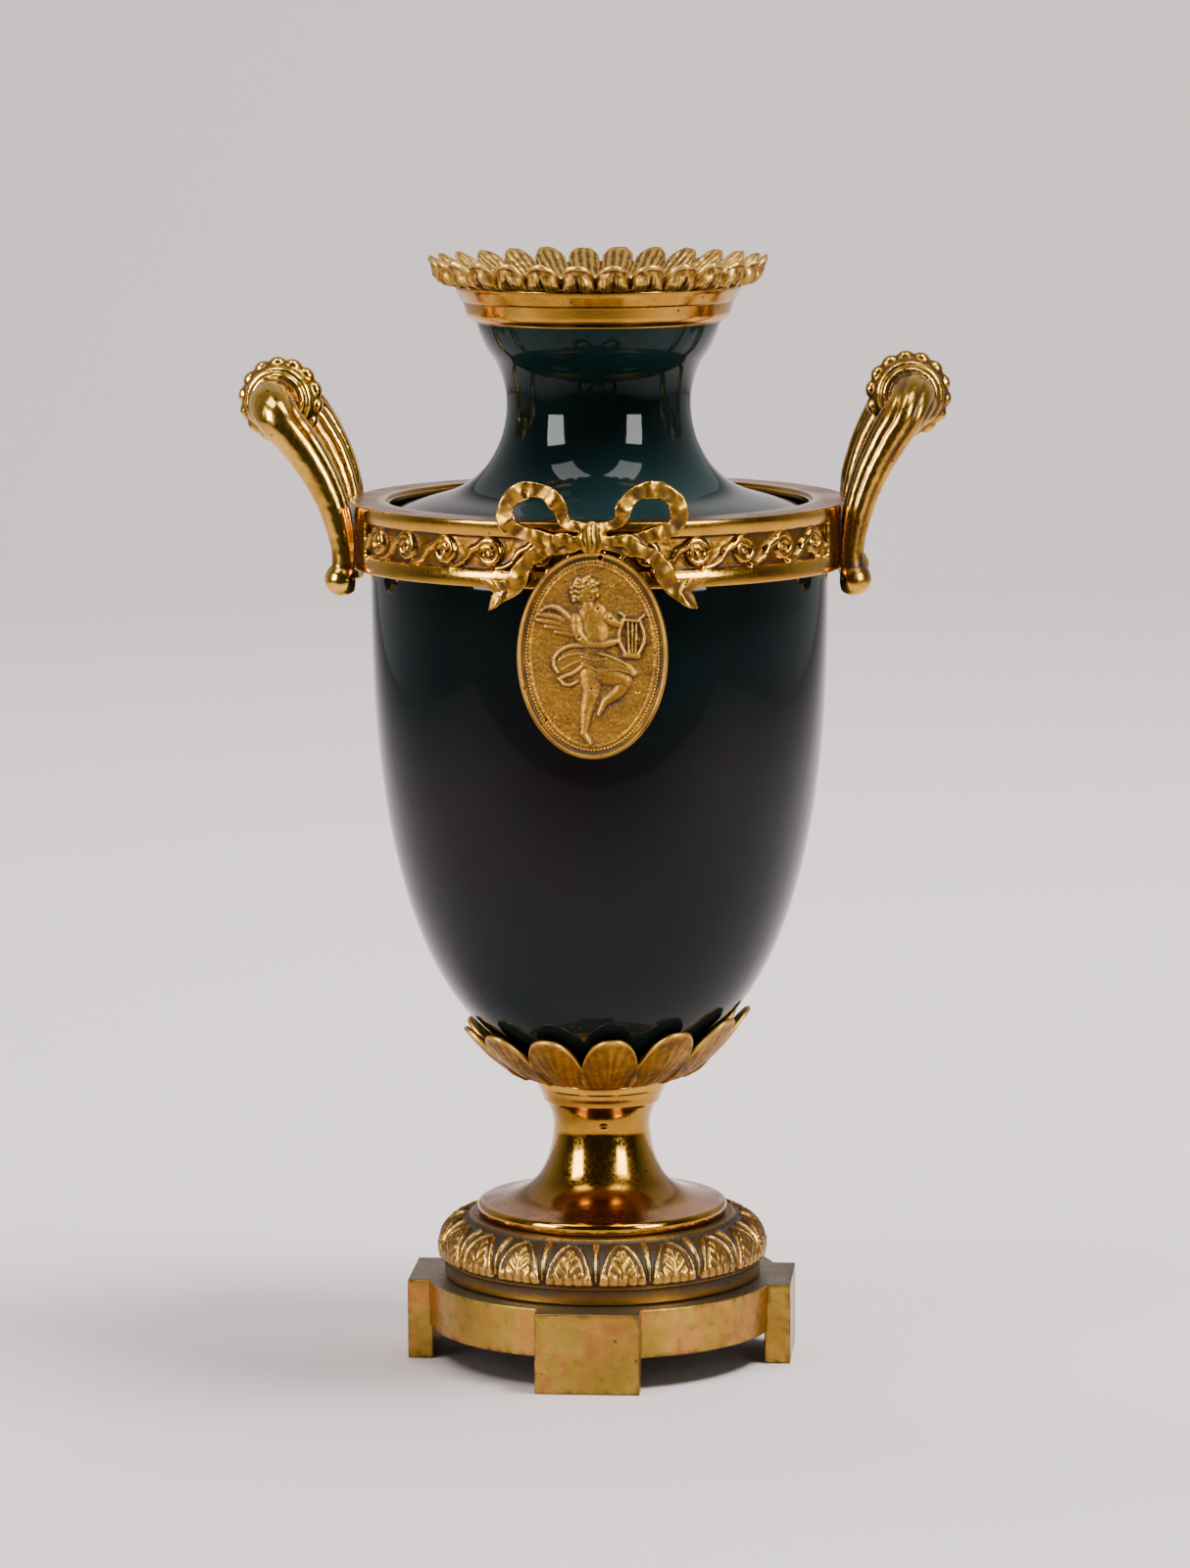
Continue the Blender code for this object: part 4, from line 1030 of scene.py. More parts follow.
def headDetail(x, z):
    # curls over a plain calm profile
    look = ovalLook
    headX, headZ = look["headAt"]
    curls = np.zeros_like(x)
    for ring, count, size in look["curlRings"]:
        for turn in range(count):
            angle = look["curlFrom"] + turn * look["curlSweep"] / (count - 1)
            angle = math.radians(angle + 7.0 * math.sin(2.7 * turn + ring))
            reach = ring + 0.28 * math.sin(3.9 * turn + 2.0 * ring)
            curlX, curlZ = headX + reach * math.cos(angle), headZ + reach * math.sin(angle)
            away = np.hypot(x - curlX, z - curlZ) / size
            curl = np.clip(1.0 - away ** 2, 0.0, 1.0) ** 0.6 - 0.25 * np.exp(-((away - 0.45) / 0.18) ** 2)
            curls = np.maximum(curls, curl * look["curlHeight"])
    brow = 0.20 * np.exp(-(((x + 0.2) / 0.8) ** 2 + ((z - 15.7) / 0.25) ** 2))
    nose = np.clip(1.0 - ((x - 1.35) / 0.42) ** 2 - ((z - 14.7) / 0.55) ** 2, 0.0, 1.0) ** 0.5
    return curls, brow, nose


def ovalHeight(x, z):
    look = ovalLook
    a, b, half = look["halfWidth"], look["halfHeight"], look["rimRound"]
    rho = np.maximum(np.hypot(x / a, z / b), 1e-4)
    edge = (1.0 - rho) * rho / np.maximum(np.hypot(x / a ** 2, z / b ** 2), 1e-6)  # the way in from the edge
    outerRim = look["rim"] + 0.9 * np.sqrt(np.clip(1.0 - ((edge - half) / half) ** 2, 0.0, 1.0))
    innerRim = look["rim"] + 0.9 - 1.15 * smoothStep(0.8, 1.55, edge)
    line = 0.22 * np.exp(-((edge - 3.2) / 0.25) ** 2) - 0.15 * np.exp(-((edge - 1.75) / 0.22) ** 2)
    rim = np.where(edge < 1.8, np.where(edge < half, outerRim, innerRim), 0.0)
    height = np.maximum(look["field"] + line, rim)
    figure = np.zeros_like(x)
    for points, start, end, tall in ovalForms:
        figure = np.maximum(figure, formHeight(x, z, np.array(points), start, end, tall))
    curls, brow, nose = headDetail(x, z)
    figure = np.maximum(np.maximum(figure, curls), nose * 0.85) + brow
    return height + figure * look["relief"], figure, edge


def makePlaque(metal):
    look = ovalLook
    wide, tall, level = look["halfWidth"], look["halfHeight"], look["z"]
    u, v = np.meshgrid(np.linspace(-1.0, 1.0, look["across"] + 1), np.linspace(-1.0, 1.0, look["up"] + 1),
                       indexing="ij")
    x = wide * u * np.sqrt(1.0 - v * v / 2)
    z = tall * v * np.sqrt(1.0 - u * u / 2)
    height, figure, edge = ovalHeight(x, z)
    spots = np.stack((x.ravel(), z.ravel(), 0.0 * x.ravel()), axis=-1)
    punched = valueNoise(spots, 0.7, 11.0, 2) * look["grain"]
    punched = punched + valueNoise(spots, 3.2, 12.0, 2) * look["swell"]
    height += punched.reshape(x.shape) * np.where(edge > 1.8, np.where(figure > 0.05, 0.6, 1.0), 0.35)
    chance = np.random.default_rng(7)
    for _ in range(look["pits"]):
        angle, reach, size = (chance.uniform(*span) for span in ((0, math.tau), (0.25, 0.95), (0.28, 0.55)))
        away = np.hypot(x - math.cos(angle) * reach * wide, z - math.sin(angle) * reach * tall)
        height -= look["pitDepth"] * smoothStep(size, size * 0.35, away)
    pinX, pinZ = look["pinHole"]
    height -= look["pinDepth"] * smoothStep(0.75, 0.45, np.hypot(x - pinX, z - pinZ))
    front = np.stack((x, -(look["back"] + height), level + z), axis=-1)
    rows, columns = x.shape
    index = np.arange(rows * columns).reshape(rows, columns)
    border = np.concatenate((index[0, :-1], index[:-1, -1], index[-1, :0:-1], index[:0:-1, 0])).tolist()
    points = front.reshape(-1, 3)
    back = points[border].copy()
    back[:, 1] = -look["back"]
    size, start = len(border), len(points)
    points = np.vstack((points, back, (0.0, -look["back"], level)))
    ends = [(i, (i + 1) % size) for i in range(size)]
    faces = gridFaces(rows, columns)
    faces += [(border[i], border[k], start + k, start + i) for i, k in ends]
    faces += [(start + k, start + size, start + i) for i, k in ends]
    plaque = cleaned(newPiece("plaque", points, faces), 0.0001)
    # the pearl ring inside the rim
    angles = np.linspace(0.0, math.tau, look["ringSteps"], endpoint=False)
    ring = np.stack(((wide - look["beadIn"]) * np.cos(angles),
                     np.full(look["ringSteps"], -(look["back"] + look["field"] - 0.02)),
                     level + (tall - look["beadIn"]) * np.sin(angles)), axis=-1)
    pearls = throughTree(newWire("pearls", ring, closed=True), beadTree, Beads=look["beads"],
                         Radius=look["beadRadius"] * mm, Material=metal)
    return [plaque, pearls]


bowLook = dict(
    radius=64.7, knotZ=215.6, knotSize=(3.1, 1.35, 4.3), voxel=0.27, steps=130, across=15,
    crease=0.14, curl=0.35, patina=0.20, lumps=0.10,
    loop=dict(line=((1.5, 218.2), (6.4, 219.4), (8.0, 223.4), (11.2, 226.6), (16.6, 227.0), (20.6, 223.6),
                    (20.4, 218.6), (12.4, 215.7), (2.0, 214.8)),
              halves=(1.1, 1.5, 1.9, 1.9, 2.1, 2.1, 2.1, 1.6, 1.1), thickness=0.55, ruffles=5.5, depth=0.85,
              notch=0.0),
    tail=dict(line=((1.0, 215.4), (7.0, 213.4), (12.4, 212.2), (16.6, 208.6), (19.4, 203.6), (26.6, 201.4)),
              halves=(1.2, 1.9, 1.5, 2.2, 2.4, 3.9), thickness=0.42, ruffles=3.5, depth=0.7, notch=4.6),
    fold=dict(line=((2.2, 214.6), (7.4, 215.4), (12.0, 212.6), (16.2, 209.6), (17.6, 205.6)),
              halves=(0.9, 1.5, 1.9, 1.7, 1.3), thickness=0.45, ruffles=2.5, depth=0.7, notch=0.0),
    wear=dict(fineRounds=5, fineDepth=0.08, broadRounds=30, broadDepth=0.35, fineShare=0.55),
)


def onBow(x, z, lift=0.0):
    radius = bowLook["radius"] + lift
    return np.stack((x, -np.sqrt(radius * radius - x * x), z), axis=-1)


def ribbon(name, side, seed):
    look, own = bowLook, bowLook[name]
    line = np.array([(x, z, half) for (x, z), half in zip(own["line"], own["halves"])])
    line = resampled(curveThrough(line, 16), look["steps"])
    flat = line[:, :2] * (side, 1.0)
    along = np.gradient(flat, axis=0)
    along /= np.linalg.norm(along, axis=1)[:, None]
    across = np.stack((-along[:, 1], along[:, 0]), axis=-1)
    share = np.linspace(0.0, 1.0, look["steps"])
    wave = np.sin(math.tau * own["ruffles"] * share + seed)
    crease = np.sin(math.tau * own["ruffles"] * 2 * share + 1.3 * seed) * look["crease"]
    v = np.linspace(-1.0, 1.0, look["across"])
    width = line[:, 2] * (1.0 + 0.10 * wave)
    place = flat[:, None, :] + across[:, None, :] * (width[:, None] * v[None, :])[..., None]
    # a tail's end is cut to a swallow tail
    pull = own["notch"] * (1.0 - np.abs(v))[None, :] * smoothStep(0.8, 1.0, share)[:, None]
    place = place - along[:, None, :] * pull[..., None]
    curl = wave[:, None] * (0.55 + 0.45 * np.cos(2.2 * v))[None, :] + crease[:, None] * v[None, :]
    turnedUp = look["curl"] * (v ** 2)[None, :] * np.sign(wave)[:, None]
    curl = own["depth"] * curl + turnedUp * smoothStep(0.0, 0.4, np.abs(wave))[:, None]
    front = onBow(place[..., 0], place[..., 1], curl + own["thickness"])
    back = onBow(place[..., 0], place[..., 1], curl - own["thickness"])
    loops = np.concatenate((front, back[:, ::-1]), axis=1)
    return sweptSkin(name, flat, lambda index: loops[index])


def makeKnot():
    look = bowLook
    middle = (0.0, -look["radius"], look["knotZ"])
    tall = look["knotSize"][2]
    knot = stretchedBall("knot", middle, look["knotSize"], 64, 40)
    points = pointsOf(knot)
    local = points - middle
    points[:, 0] *= 1.0 + 0.22 * np.clip(1.0 - np.abs(local[:, 2]) / tall, 0.0, 1.0)
    pleats = np.cos(local[:, 0] * 3.4 + 0.5 * np.sin(local[:, 2]))
    points[:, 1] -= 0.22 * pleats * np.clip(-local[:, 1], 0.0, 1.0)
    placePoints(knot, points)
    return knot


def makeBow():
    pieces = [makeKnot()]
    for side in (-1, 1):
        for name, seed in (("loop", 1.0 + side), ("tail", 0.6 * side), ("fold", 2.0 * side)):
            pieces.append(ribbon(name, side, seed))
    return fused(merged("bow", pieces), bowLook["voxel"])


def makeMedallion(metal, relief):
    bow = makeBow()
    points = relaxed(pointsOf(bow), edgesOf(bow), 3)
    points = pushedOut(bow, points, valueNoise(points, 2.6, 21.0, 2) * bowLook["lumps"])
    seatOnBand(points)
    placePoints(bow, points)
    patina = bowLook["patina"] * valueNoise(pointsOf(bow), 4.0, 23.0, 3)
    ageing(bow, bowLook["wear"], 0.09 + patina)
    plaque = makePlaque(metal)
    for piece in plaque:
        place = pointsOf(piece)
        # browner along the rim and towards the upper right
        dull = smoothStep(192.0, 208.0, place[:, 2]) * smoothStep(-4.0, 12.0, place[:, 0])
        up = place[:, 2] - ovalLook["z"]
        rho = np.hypot(place[:, 0] / ovalLook["halfWidth"], up / ovalLook["halfHeight"])
        dull = dull + 2.2 * smoothStep(0.91, 0.97, rho)
        ageing(piece, ovalLook["wear"], 0.09 + 0.10 * dull + 0.12 * valueNoise(place, 4.5, 24.0, 3))
    bowFaces = len(bow.data.polygons)
    medallion = settled(merged("medallionAndBow", [bow] + plaque), metal, "medallion")
    medallion.data.materials.append(relief)
    for face in medallion.data.polygons:
        face.material_index = int(face.index >= bowFaces)
    return medallion


calyxLook = dict(
    leaves=13, phase=5.6, across=34, up=44, footZ=71.6, footRadius=16.6, tipRadius=36.2, tipZ=87.2,
    thickness=1.6, shortening=0.46, hole=4.0, midrib=0.22, veins=4, veinDepth=0.05, rimTurn=0.22, dart=0.7,
    lean=2.0, spread=1.3, bends=(-0.55, 0.35), hammered=0.08, patina=0.14,
    wear=dict(fineRounds=3, fineDepth=0.05, broadRounds=24, broadDepth=0.30, fineShare=0.5),
)


def calyxCurve(share):
    look = calyxLook
    radius = look["footRadius"] + (look["tipRadius"] - look["footRadius"]) * share ** 0.70
    height = look["footZ"] + (look["tipZ"] - look["footZ"]) * share ** 1.37
    return np.stack((radius, height), axis=-1)


def calyxSector():
    look = calyxLook
    offsets = np.linspace(-0.5, 0.5, look["across"] + 1)
    ring = np.array(((look["hole"], look["footZ"] + look["thickness"]), (look["hole"], look["footZ"])))
    rows = []
    for u in offsets:
        off = abs(u) * 2.0
        reach = 1.0 - look["shortening"] * off ** 2.6
        s = np.linspace(0.0, 1.0, look["up"]) * reach
        point = calyxCurve(s)
        along = calyxCurve(s + 0.02) - point
        along /= np.linalg.norm(along, axis=1)[:, None]
        out = np.stack((along[:, 1], -along[:, 0]), axis=-1)
        bulge = (0.4 - 0.9 * off ** 2) * s
        edge = np.minimum((1.0 - s / reach) * 2.4, (1.0 - off) * 1.6)
        rim = look["rimTurn"] * np.exp(-(edge / 0.16) ** 2) * smoothStep(0.15, 0.5, s)
        midrib = look["midrib"] * math.exp(-(u / 0.022) ** 2) * (1.0 - s / reach) ** 0.5
        fan = np.sin(math.tau * look["veins"] * (off * 0.8 - 0.35 * s + 0.1))
        veins = look["veinDepth"] * fan * smoothStep(0.05, 0.2, s)
        veins = veins * smoothStep(0.02, 0.12, off) * (1.0 - 0.5 * s)
        dart = look["dart"] * np.exp(-((0.5 - abs(u)) / 0.055) ** 2)  # the leaf behind, between two
        dart = dart * smoothStep(0.50, 0.30, s) * smoothStep(0.06, 0.14, s)
        outer = point + out * (bulge + rim + midrib + veins + dart)[:, None]
        thick = look["thickness"] * (1.0 - 0.35 * s)
        inner = point + out * (bulge - thick + 0.3 * rim)[:, None]
        tip = (outer[-1] + inner[-1]) / 2 + along[-1] * 0.35
        rows.append(np.vstack((outer, tip, inner[::-3], ring)))
    return sectorPiece("leafCalyx", offsets * (360.0 / look["leaves"]), np.array(rows))


def makeCalyx(metal):
    look = calyxLook
    pitch = 360.0 / look["leaves"]
    calyx = cleaned(copiesRound(calyxSector(), look["leaves"], look["phase"], metal))
    points = pointsOf(calyx)
    radius = radiusOf(points)
    share = np.clip((radius - look["footRadius"]) / (look["tipRadius"] - look["footRadius"]), 0.0, 1.0)
    azimuth = azimuthOf(points)
    # every leaf has been bent a little by itself, and the whole cup leans to the right
    leaf = np.round((azimuth - look["phase"]) / pitch)
    chance = np.random.default_rng(3)
    bends = chance.uniform(*look["bends"], look["leaves"] + 1)
    bend = bends[np.mod(leaf, look["leaves"]).astype(int)]
    middle = np.cos(np.radians((azimuth - look["phase"]) - leaf * pitch) * look["leaves"] / 2.0)
    toRight = np.sin(np.radians(azimuth))
    points[:, 2] += look["lean"] * toRight * share ** 2 + bend * middle * share ** 2
    points[:, :2] *= (1.0 + look["spread"] * toRight * share ** 0.7 / np.maximum(radius, 1.0))[:, None]
    hammered = valueNoise(points, 1.8, 31.0, 2) * look["hammered"] * (radius > 15.0)
    points = pushedOut(calyx, points, hammered)
    placePoints(calyx, points)
    patina = look["patina"] * valueNoise(points, 3.0, 33.0, 3)
    ageing(calyx, look["wear"], 0.16 - 0.06 * smoothStep(0.3, 0.9, share) + patina)
    return settled(calyx, metal, "leaf_calyx")


stemLook = dict(
    steps=160,
    ring=((16.45, 0.0, 0.3), (16.4, -1.9, 0.5), (15.9, -2.3, 0.1), (15.75, -3.2, 0.4), (15.1, -4.6, 0.5),
          (14.85, -5.6, 0.1), (14.3, -5.75, 0.1), (14.1, -6.2, 0.0)),
    waist=((13.95, 65.0), (13.3, 63.6), (12.6, 61.6), (12.25, 59.0), (12.5, 56.4), (13.3, 52.2), (14.6, 48.6),
           (16.6, 45.2), (19.4, 42.9), (23.0, 41.2), (26.6, 40.2), (30.0, 39.6)),
    step=(31.4, 39.35, 1.0), discTop=38.3, discFoot=37.0, underRadius=31.5,
    nickAt=(3.5, 60.6), nickSize=(4.5, 0.35), nickDepth=0.28, shine=-0.16, dull=0.20, lipDullAndShade=0.18,
    wear=dict(fineRounds=3, fineDepth=0.03, broadRounds=30, broadDepth=0.25, fineShare=0.4),
)


def makeStem(metal):
    look = stemLook
    low, high = boxOf("stem")
    disc = high.x
    ring = [(0.0, high.z, 0.0)] + [(r, high.z + drop, fillet) for r, drop, fillet in look["ring"]]
    foot = [(*look["waist"][-1], 0.0), look["step"], (disc, look["discTop"], 0.9),
            (disc - 0.15, look["discFoot"], 0.3), (look["underRadius"], low.z, 0.15), (0.0, low.z, 0.0)]
    outline = np.vstack((filleted(ring, 4), curveThrough(look["waist"], 7), filleted(foot, 5)[1:]))
    stem = turned("stemAndDisc", outline, look["steps"], metal)
    points = pointsOf(stem)
    (nickTurn, nickZ), (nickWide, nickTall) = look["nickAt"], look["nickSize"]
    aside, above = (azimuthOf(points) - nickTurn) / nickWide, (points[:, 2] - nickZ) / nickTall
    nick = np.exp(-aside ** 2 - above ** 2)
    points = pushedOut(stem, points, -(look["nickDepth"] * nick * (points[:, 2] < 66.0)))
    placePoints(stem, points)
    radius = radiusOf(points)
    streaks = valueNoise(points * (1.0, 1.0, 0.3), 6.0, 51.0, 3)
    dull = smoothStep(20.0, 31.0, radius) * (look["dull"] + look["dull"] * streaks)
    # the lip is made duller and darker: a rougher finish, and painted shade where the disc's edge rolls over
    # onto the cushion
    ageing(stem, look["wear"], look["shine"] + (dull + look["lipDullAndShade"] * smoothStep(30.6, 31.6, radius)))
    return settled(stem, metal, "stem")


cushionShape = dict(
    leaves=19, phase=8.7, across=44, up=54, hole=4.0,
    roll=((31.0, 36.2), (33.0, 36.2), (35.6, 35.95), (37.6, 35.25), (39.2, 34.3), (40.5, 33.1), (41.5, 31.4),
          (42.1, 29.4), (42.2, 27.6), (42.1, 26.2), (41.8, 25.2)),
    groove=((40.8, 24.9, 0.0), (40.35, 24.3, 0.4)), filletRadius=40.3,
    tipAt=0.275, footAt=0.98, leafHalf=0.445,
    rim=0.055, rimWidth=0.030, rimHeight=0.92, innerShare=0.68, ground=1.15, vein=0.30, barbs=0.24, dart=0.85,
    hammered=0.10, uneven=0.06, dirtAndShade=0.42,
    wear=dict(fineRounds=3, fineDepth=0.07, broadRounds=20, broadDepth=0.35, fineShare=0.55),
)


def cushionSector():
    look = cushionShape
    low, high = boxOf("leaf_torus")
    roll = resampled(curveThrough(look["roll"], 8), look["up"])
    along = np.gradient(roll, axis=0)
    along /= np.linalg.norm(along, axis=1)[:, None]
    out = np.stack((-along[:, 1], along[:, 0]), axis=-1)
    # s is 1 at a leaf's tip, above, and 0 at its foot
    s = 1.0 - (np.linspace(0.0, 1.0, len(roll)) - look["tipAt"]) / (look["footAt"] - look["tipAt"])
    below = [*look["groove"], (look["filletRadius"], low.z, 0.5), (look["hole"], low.z, 0.0)]
    rest = np.vstack((evened(filleted(below, 3), 2.4), ((look["hole"], high.z),)))
    offsets = np.linspace(-0.5, 0.5, look["across"] + 1)
    half = look["leafHalf"]
    rows, ages = [], []
    for u in offsets:
        off = abs(u)
        # distances in from the leaf's edge and from its inner field's edge, in pitches
        leafEdge = half * np.clip(1.0 - np.clip(s, 0.0, 1.0) ** 1.9, 0.0, 1.0) ** 0.58
        toEdge = np.where(s > 1.0, -0.05, leafEdge) - off
        fieldEdge = np.clip(1.0 - np.clip(s / 0.84, 0.0, 1.0) ** 1.8, 0.0, 1.0) ** 0.6
        toInner = look["innerShare"] * half * fieldEdge - off
        leaf = smoothStep(-0.012, 0.02, toEdge)
        rim = np.exp(-((toEdge - look["rim"]) / look["rimWidth"]) ** 2)
        inner = smoothStep(-0.01, 0.035, toInner) * (s < 0.86)
        barbs = np.maximum(np.cos(math.tau * (4.2 * s - 4.4 * off)), 0.0) ** 0.7 * smoothStep(0.02, 0.05, off)
        vein = look["vein"] * math.exp(-(u / 0.020) ** 2) + look["barbs"] * barbs
        blade = 0.30 + 0.36 * inner + inner * (vein - 0.10)
        frond = 0.55 + 0.38 * np.abs(math.cos(math.pi * 2.5 * u / half)) ** 0.7
        toFoot = smoothStep(0.30, 0.16, s)
        relief = leaf * (np.maximum(blade, look["rimHeight"] * rim) * (1.0 - toFoot) + frond * toFoot)
        dartHalf = 0.022 + 0.050 * smoothStep(0.20, 0.90, s)
        dart = np.clip(1.0 - ((0.5 - off) / dartHalf) ** 2, 0.0, 1.0) ** 0.5
        dart = dart * smoothStep(0.04, 0.14, s) * smoothStep(1.10, 1.0, s)
        relief = np.maximum(relief, dart * look["dart"]) * smoothStep(-0.01, 0.03, s)
        height = look["ground"] * (relief - 1.0) * smoothStep(1.20, 1.10, s)
        rows.append(np.vstack((roll + out * height[:, None], rest)))
        # brown dirt in the sunk ground between the leaves; the fixed 0.75 on the groove, fillet and underside
        # below them is painted shade under the roll
        ages.append(np.concatenate((1.0 - np.clip(relief / 0.45, 0.0, 1.0), np.full(len(rest), 0.75))))
    sector = sectorPiece("leafCushion", offsets * (360.0 / look["leaves"]), np.array(rows))
    store(sector, "ground", ages)
    return sector


def makeCushion(metal):
    look = cushionShape
    cushion = cleaned(copiesRound(cushionSector(), look["leaves"], look["phase"], metal))
    points = pointsOf(cushion)
    worn = (points[:, 2] > 24.8) & (points[:, 2] < 36.1)
    lumps = valueNoise(points, 1.1, 41.0, 2) * look["hammered"]
    lumps = lumps + valueNoise(points, 9.0, 42.0, 2) * look["uneven"]
    placePoints(cushion, pushedOut(cushion, points, lumps * worn))
    ground = np.empty(len(points), np.float32)
    cushion.data.attributes["ground"].data.foreach_get("value", ground)
    # brown dirt in the sunk ground, and painted shade on the fillet under the roll
    ageing(cushion, look["wear"], -0.10 + look["dirtAndShade"] * ground)
    return settled(cushion, metal, "leaf_torus")


baseShape = dict(
    radius=45.1, plateLow=8.0, footReach=48.8, footWidth=26.2, footThickness=6.6, turn=-3.1, steps=180,
    footBevel=0.4, plateBevel=0.3, footLift=0.012, cell=1.35, sharpAngle=50.0,
    chips=0.35, chipSize=2.2, dull=0.36, edgeDirt=0.42, hollowDirt=0.35, patina=0.10,
)


def footBlock(size, centre, turn, bevel):
    bm = bmesh.new()
    bmesh.ops.create_cube(bm, size=mm)
    bmesh.ops.transform(bm, matrix=Matrix.Diagonal((*size, 1.0)), verts=bm.verts)
    bmesh.ops.bevel(bm, geom=bm.edges[:], offset=bevel * mm, segments=3, profile=0.6, affect="EDGES")
    place = Matrix.Rotation(math.radians(turn), 4, "Z") @ Matrix.Translation(Vector(centre) * mm)
    bmesh.ops.transform(bm, matrix=place, verts=bm.verts)
    return pieceFrom("foot", bm)


def diced(piece, cell):
    # big flat faces cut into cells, so that wear can follow their edges
    bm = bmesh.new()
    bm.from_mesh(piece.data)
    for axis in range(3):
        normal = Vector((axis == 0, axis == 1, axis == 2))
        places = [vertex.co[axis] for vertex in bm.verts]
        for place in np.arange(min(places), max(places), cell * mm)[1:]:
            bmesh.ops.bisect_plane(bm, geom=bm.verts[:] + bm.edges[:] + bm.faces[:], dist=1e-7,
                                   plane_co=normal * place, plane_no=normal)
    bm.to_mesh(piece.data)
    bm.free()


def makeBase(metal, tarnished):
    look = baseShape
    top = boxOf("base_plate")[1].z
    outline = [(0.0, top, 0.0), (look["radius"], top, look["plateBevel"]),
               (look["radius"] - 0.4, look["plateLow"], 0.5), (0.0, look["plateLow"], 0.0)]
    plate = turned("baseAndFeet", filleted(outline, 4), look["steps"], metal)
    rise = top + look["footLift"]
    size = (look["footWidth"], look["footThickness"], rise)
    centre = (0.0, -(look["footReach"] - look["footThickness"] / 2), rise / 2)
    for quarter in range(4):
        foot = footBlock(size, centre, 90.0 * quarter, look["footBevel"])
        union = plate.modifiers.new("foot", "BOOLEAN")
        union.operation = "UNION"
        union.object = foot
        applied(plate)
        bpy.data.objects.remove(foot)
    diced(plate, look["cell"])
    plate.data.transform(Matrix.Rotation(math.radians(look["turn"]), 4, "Z"))
    cleaned(plate)
    points = pointsOf(plate)
    hollow = hollowness(plate, 4)
    patches = valueNoise(points, look["chipSize"], 61.0, 3)
    chips = look["chips"] * smoothStep(0.03, 0.14, -hollow) * np.maximum(patches, 0.0)
    placePoints(plate, pushedOut(plate, points, -chips))
    plate.data.set_sharp_from_angle(angle=math.radians(look["sharpAngle"]))
    brown = smoothStep(0.02, 0.10, -hollow + 0.05 * patches) * look["edgeDirt"]
    brown = brown + smoothStep(0.02, 0.12, hollow) * look["hollowDirt"]
    store(plate, "ageAndPaintedLight", np.clip(look["dull"] + brown + look["patina"] * patches, 0.0, 1.0))
    settled(plate, metal, "base_plate")
    # the level faces, above and below, have tarnished
    plate.data.materials.append(tarnished)
    for face in plate.data.polygons:
        face.material_index = int(abs(face.normal.z) > 0.9)
    return plate


makeBody(glaze)
makeCollar(burnished)
makeCrown(crownPaintedLightGilt)
makeBand(burnished)
makeHandle("handleLeft", "handle_left", handleLook["left"], handleGilt)
makeHandle("handleRight", "handle_right", handleLook["right"], handleGilt)
makeMedallion(cast, reliefGilt)
makeCalyx(reliefGilt)
makeStem(polished)
makeCushion(cushionGilt)
makeBase(baseGilt, tarnish)


stageLook = dict(
    front=-0.48, back=1.7, half=0.95, sweep=0.8, bends=24, top=2.2,
    color=(0.690, 0.603, 0.606), fibreShade=0.985, fibreScale=3.0, rough=0.9,
    dark=(0.0, 0.0, 0.0), fadeSide=0.44, fadeFront=-0.21, edge=0.22,
    sky=(0.62, 0.585, 0.59), skyFrom=-0.15, skyTo=0.60, skyBack=0.62, skyFront=0.045,
)


def makeStage():
    # pale paper that rises in a sweep behind; painted shade darkens it well beside and in front of the vase,
    # so that the glaze mirrors a darker room there
    look = stageLook
    run = [(look["front"], 0.0), (0.0, 0.0)]
    for turn in np.linspace(0.0, math.pi / 2, look["bends"]):
        run.append((look["back"] + look["sweep"] * math.sin(turn), look["sweep"] * (1 - math.cos(turn))))
    run.append((look["back"] + look["sweep"], look["top"]))
    points = np.array([[(x, y, z) for y, z in run] for x in (-look["half"], look["half"])]) / mm
    floor = newPiece("floor", points, gridFaces(2, len(run)))
    floor.data.shade_smooth()
    material, tree, shader = materialTree("paper")
    fibre = mappedNoise(tree, look["fibreScale"], 3.0)
    paper = mixed(tree, fibre, look["color"], tuple(c * look["fibreShade"] for c in look["color"]))
    axes = placeAxes(tree)
    beside = mathNode(tree, "ABSOLUTE", axes["X"])
    sideways = ranged(tree, beside, look["fadeSide"], look["half"], 1.0, look["edge"])
    forwards = ranged(tree, axes["Y"], look["front"], look["fadeFront"], look["edge"], 1.0)
    lit = mathNode(tree, "MULTIPLY", sideways, forwards)
    feed(tree, shader, {"Base Color": mixed(tree, lit, look["dark"], paper), "Roughness": look["rough"]})
    floor.data.materials.append(material)


def makeSky():
    # pale to the camera; to the metal, a dark room in front and a pale one behind
    look = stageLook
    world = bpy.data.worlds.new("studio")
    bpy.context.scene.world = world
    world.use_nodes = True
    tree = world.node_tree
    tree.nodes.clear()
    room = ranged(tree, placeAxes(tree, "Generated")["Y"], look["skyFrom"], look["skyTo"],
                  look["skyFront"], look["skyBack"])
    felt = newNode(tree, "ShaderNodeBackground", {"Color": room})
    seen = newNode(tree, "ShaderNodeBackground", {"Color": (*look["sky"], 1.0)})
    ray = newNode(tree, "ShaderNodeLightPath")
    mix = newNode(tree, "ShaderNodeMixShader", {
        0: ray.outputs["Is Camera Ray"], 1: felt.outputs[0], 2: seen.outputs[0]})
    newNode(tree, "ShaderNodeOutputWorld", {0: mix.outputs[0]})


# the glossy pieces show these as windows; only one of them lights what isn't glossy too
lampAim, lampDistance = Vector((0.0, 0.0, 0.2)), 1.5
lamps = dict(
    windowLeft=dict(azimuth=-53.0, elevation=16.0, size=(0.55, 0.75), power=43.0, diffuse=False),
    windowRight=dict(azimuth=46.0, elevation=16.0, size=(0.50, 0.75), power=38.0, diffuse=False),
    upperLeft=dict(azimuth=-50.0, elevation=62.0, size=(0.55, 0.70), power=12.0, diffuse=True),
    upperRight=dict(azimuth=46.0, elevation=62.0, size=(0.55, 0.70), power=15.0, diffuse=False),
)
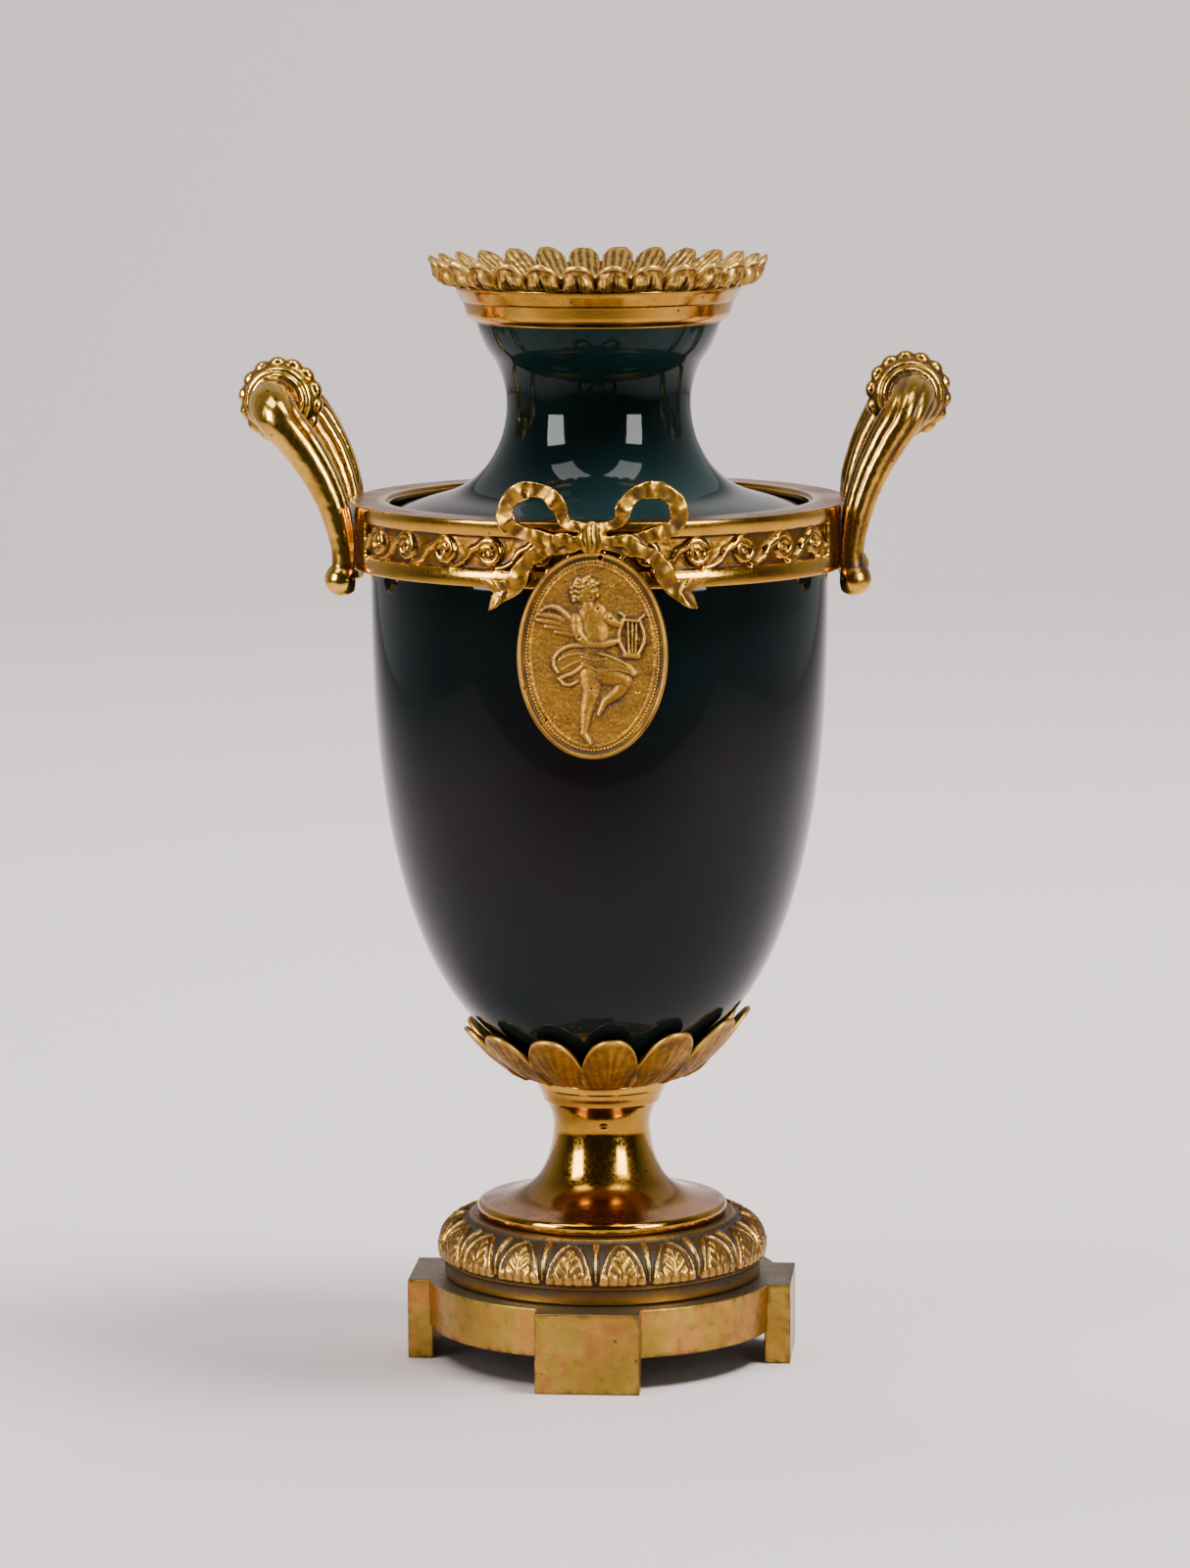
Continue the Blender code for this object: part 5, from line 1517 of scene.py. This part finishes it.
# soft light from above that the glossy pieces don't show
washes = dict(
    wall=dict(place=(0.0, 0.75, 2.0), aim=(0.0, 2.1, 0.0), size=(2.4, 0.8), power=58.0),
    floor=dict(place=(0.66, -0.14, 1.75), aim=(0.0, 0.25, 0.0), size=(0.62, 0.62), power=51.0),
)


def makeLamp(name, place, aim, size, power):
    light = bpy.data.lights.new(name, "AREA")
    light.shape = "RECTANGLE"
    light.size, light.size_y = size
    light.energy = power
    lamp = linked(name, light)
    lamp.location = place
    lamp.rotation_euler = (Vector(aim) - Vector(place)).to_track_quat("-Z", "Y").to_euler()
    lamp.visible_camera = False
    return lamp


def makeLamps():
    for name, own in lamps.items():
        azimuth, elevation = math.radians(own["azimuth"]), math.radians(own["elevation"])
        level = math.cos(elevation)
        away = Vector((level * math.sin(azimuth), -level * math.cos(azimuth), math.sin(elevation)))
        lamp = makeLamp(name, lampAim + away * lampDistance, lampAim, own["size"], own["power"])
        lamp.visible_diffuse = own["diffuse"]
    for name, own in washes.items():
        makeLamp(name, **own).visible_glossy = False


cameraLook = dict(distance=1.5, height=0.3645, yaw=1.6, pitch=8.27, roll=-0.25, sensor=24.0, focal=91.635,
                  shiftX=-0.0034375)


def makeCamera():
    look = cameraLook
    yaw, pitch, roll = (math.radians(look[turn]) for turn in ("yaw", "pitch", "roll"))
    data = bpy.data.cameras.new("camera")
    data.sensor_fit = "VERTICAL"
    data.sensor_height = look["sensor"]
    data.lens = look["focal"]
    data.shift_x = look["shiftX"]
    camera = linked("camera", data)
    camera.location = (look["distance"] * math.sin(yaw), -look["distance"] * math.cos(yaw), look["height"])
    ahead = Vector((-math.sin(yaw) * math.cos(pitch), math.cos(yaw) * math.cos(pitch), -math.sin(pitch)))
    facing = ahead.to_track_quat("-Z", "Y").to_matrix() @ Matrix.Rotation(roll, 3, "Z")
    camera.rotation_euler = facing.to_euler()
    bpy.context.scene.camera = camera


makeStage()
makeSky()
makeLamps()
makeCamera()
print("paper, sky, lamps and camera are set")
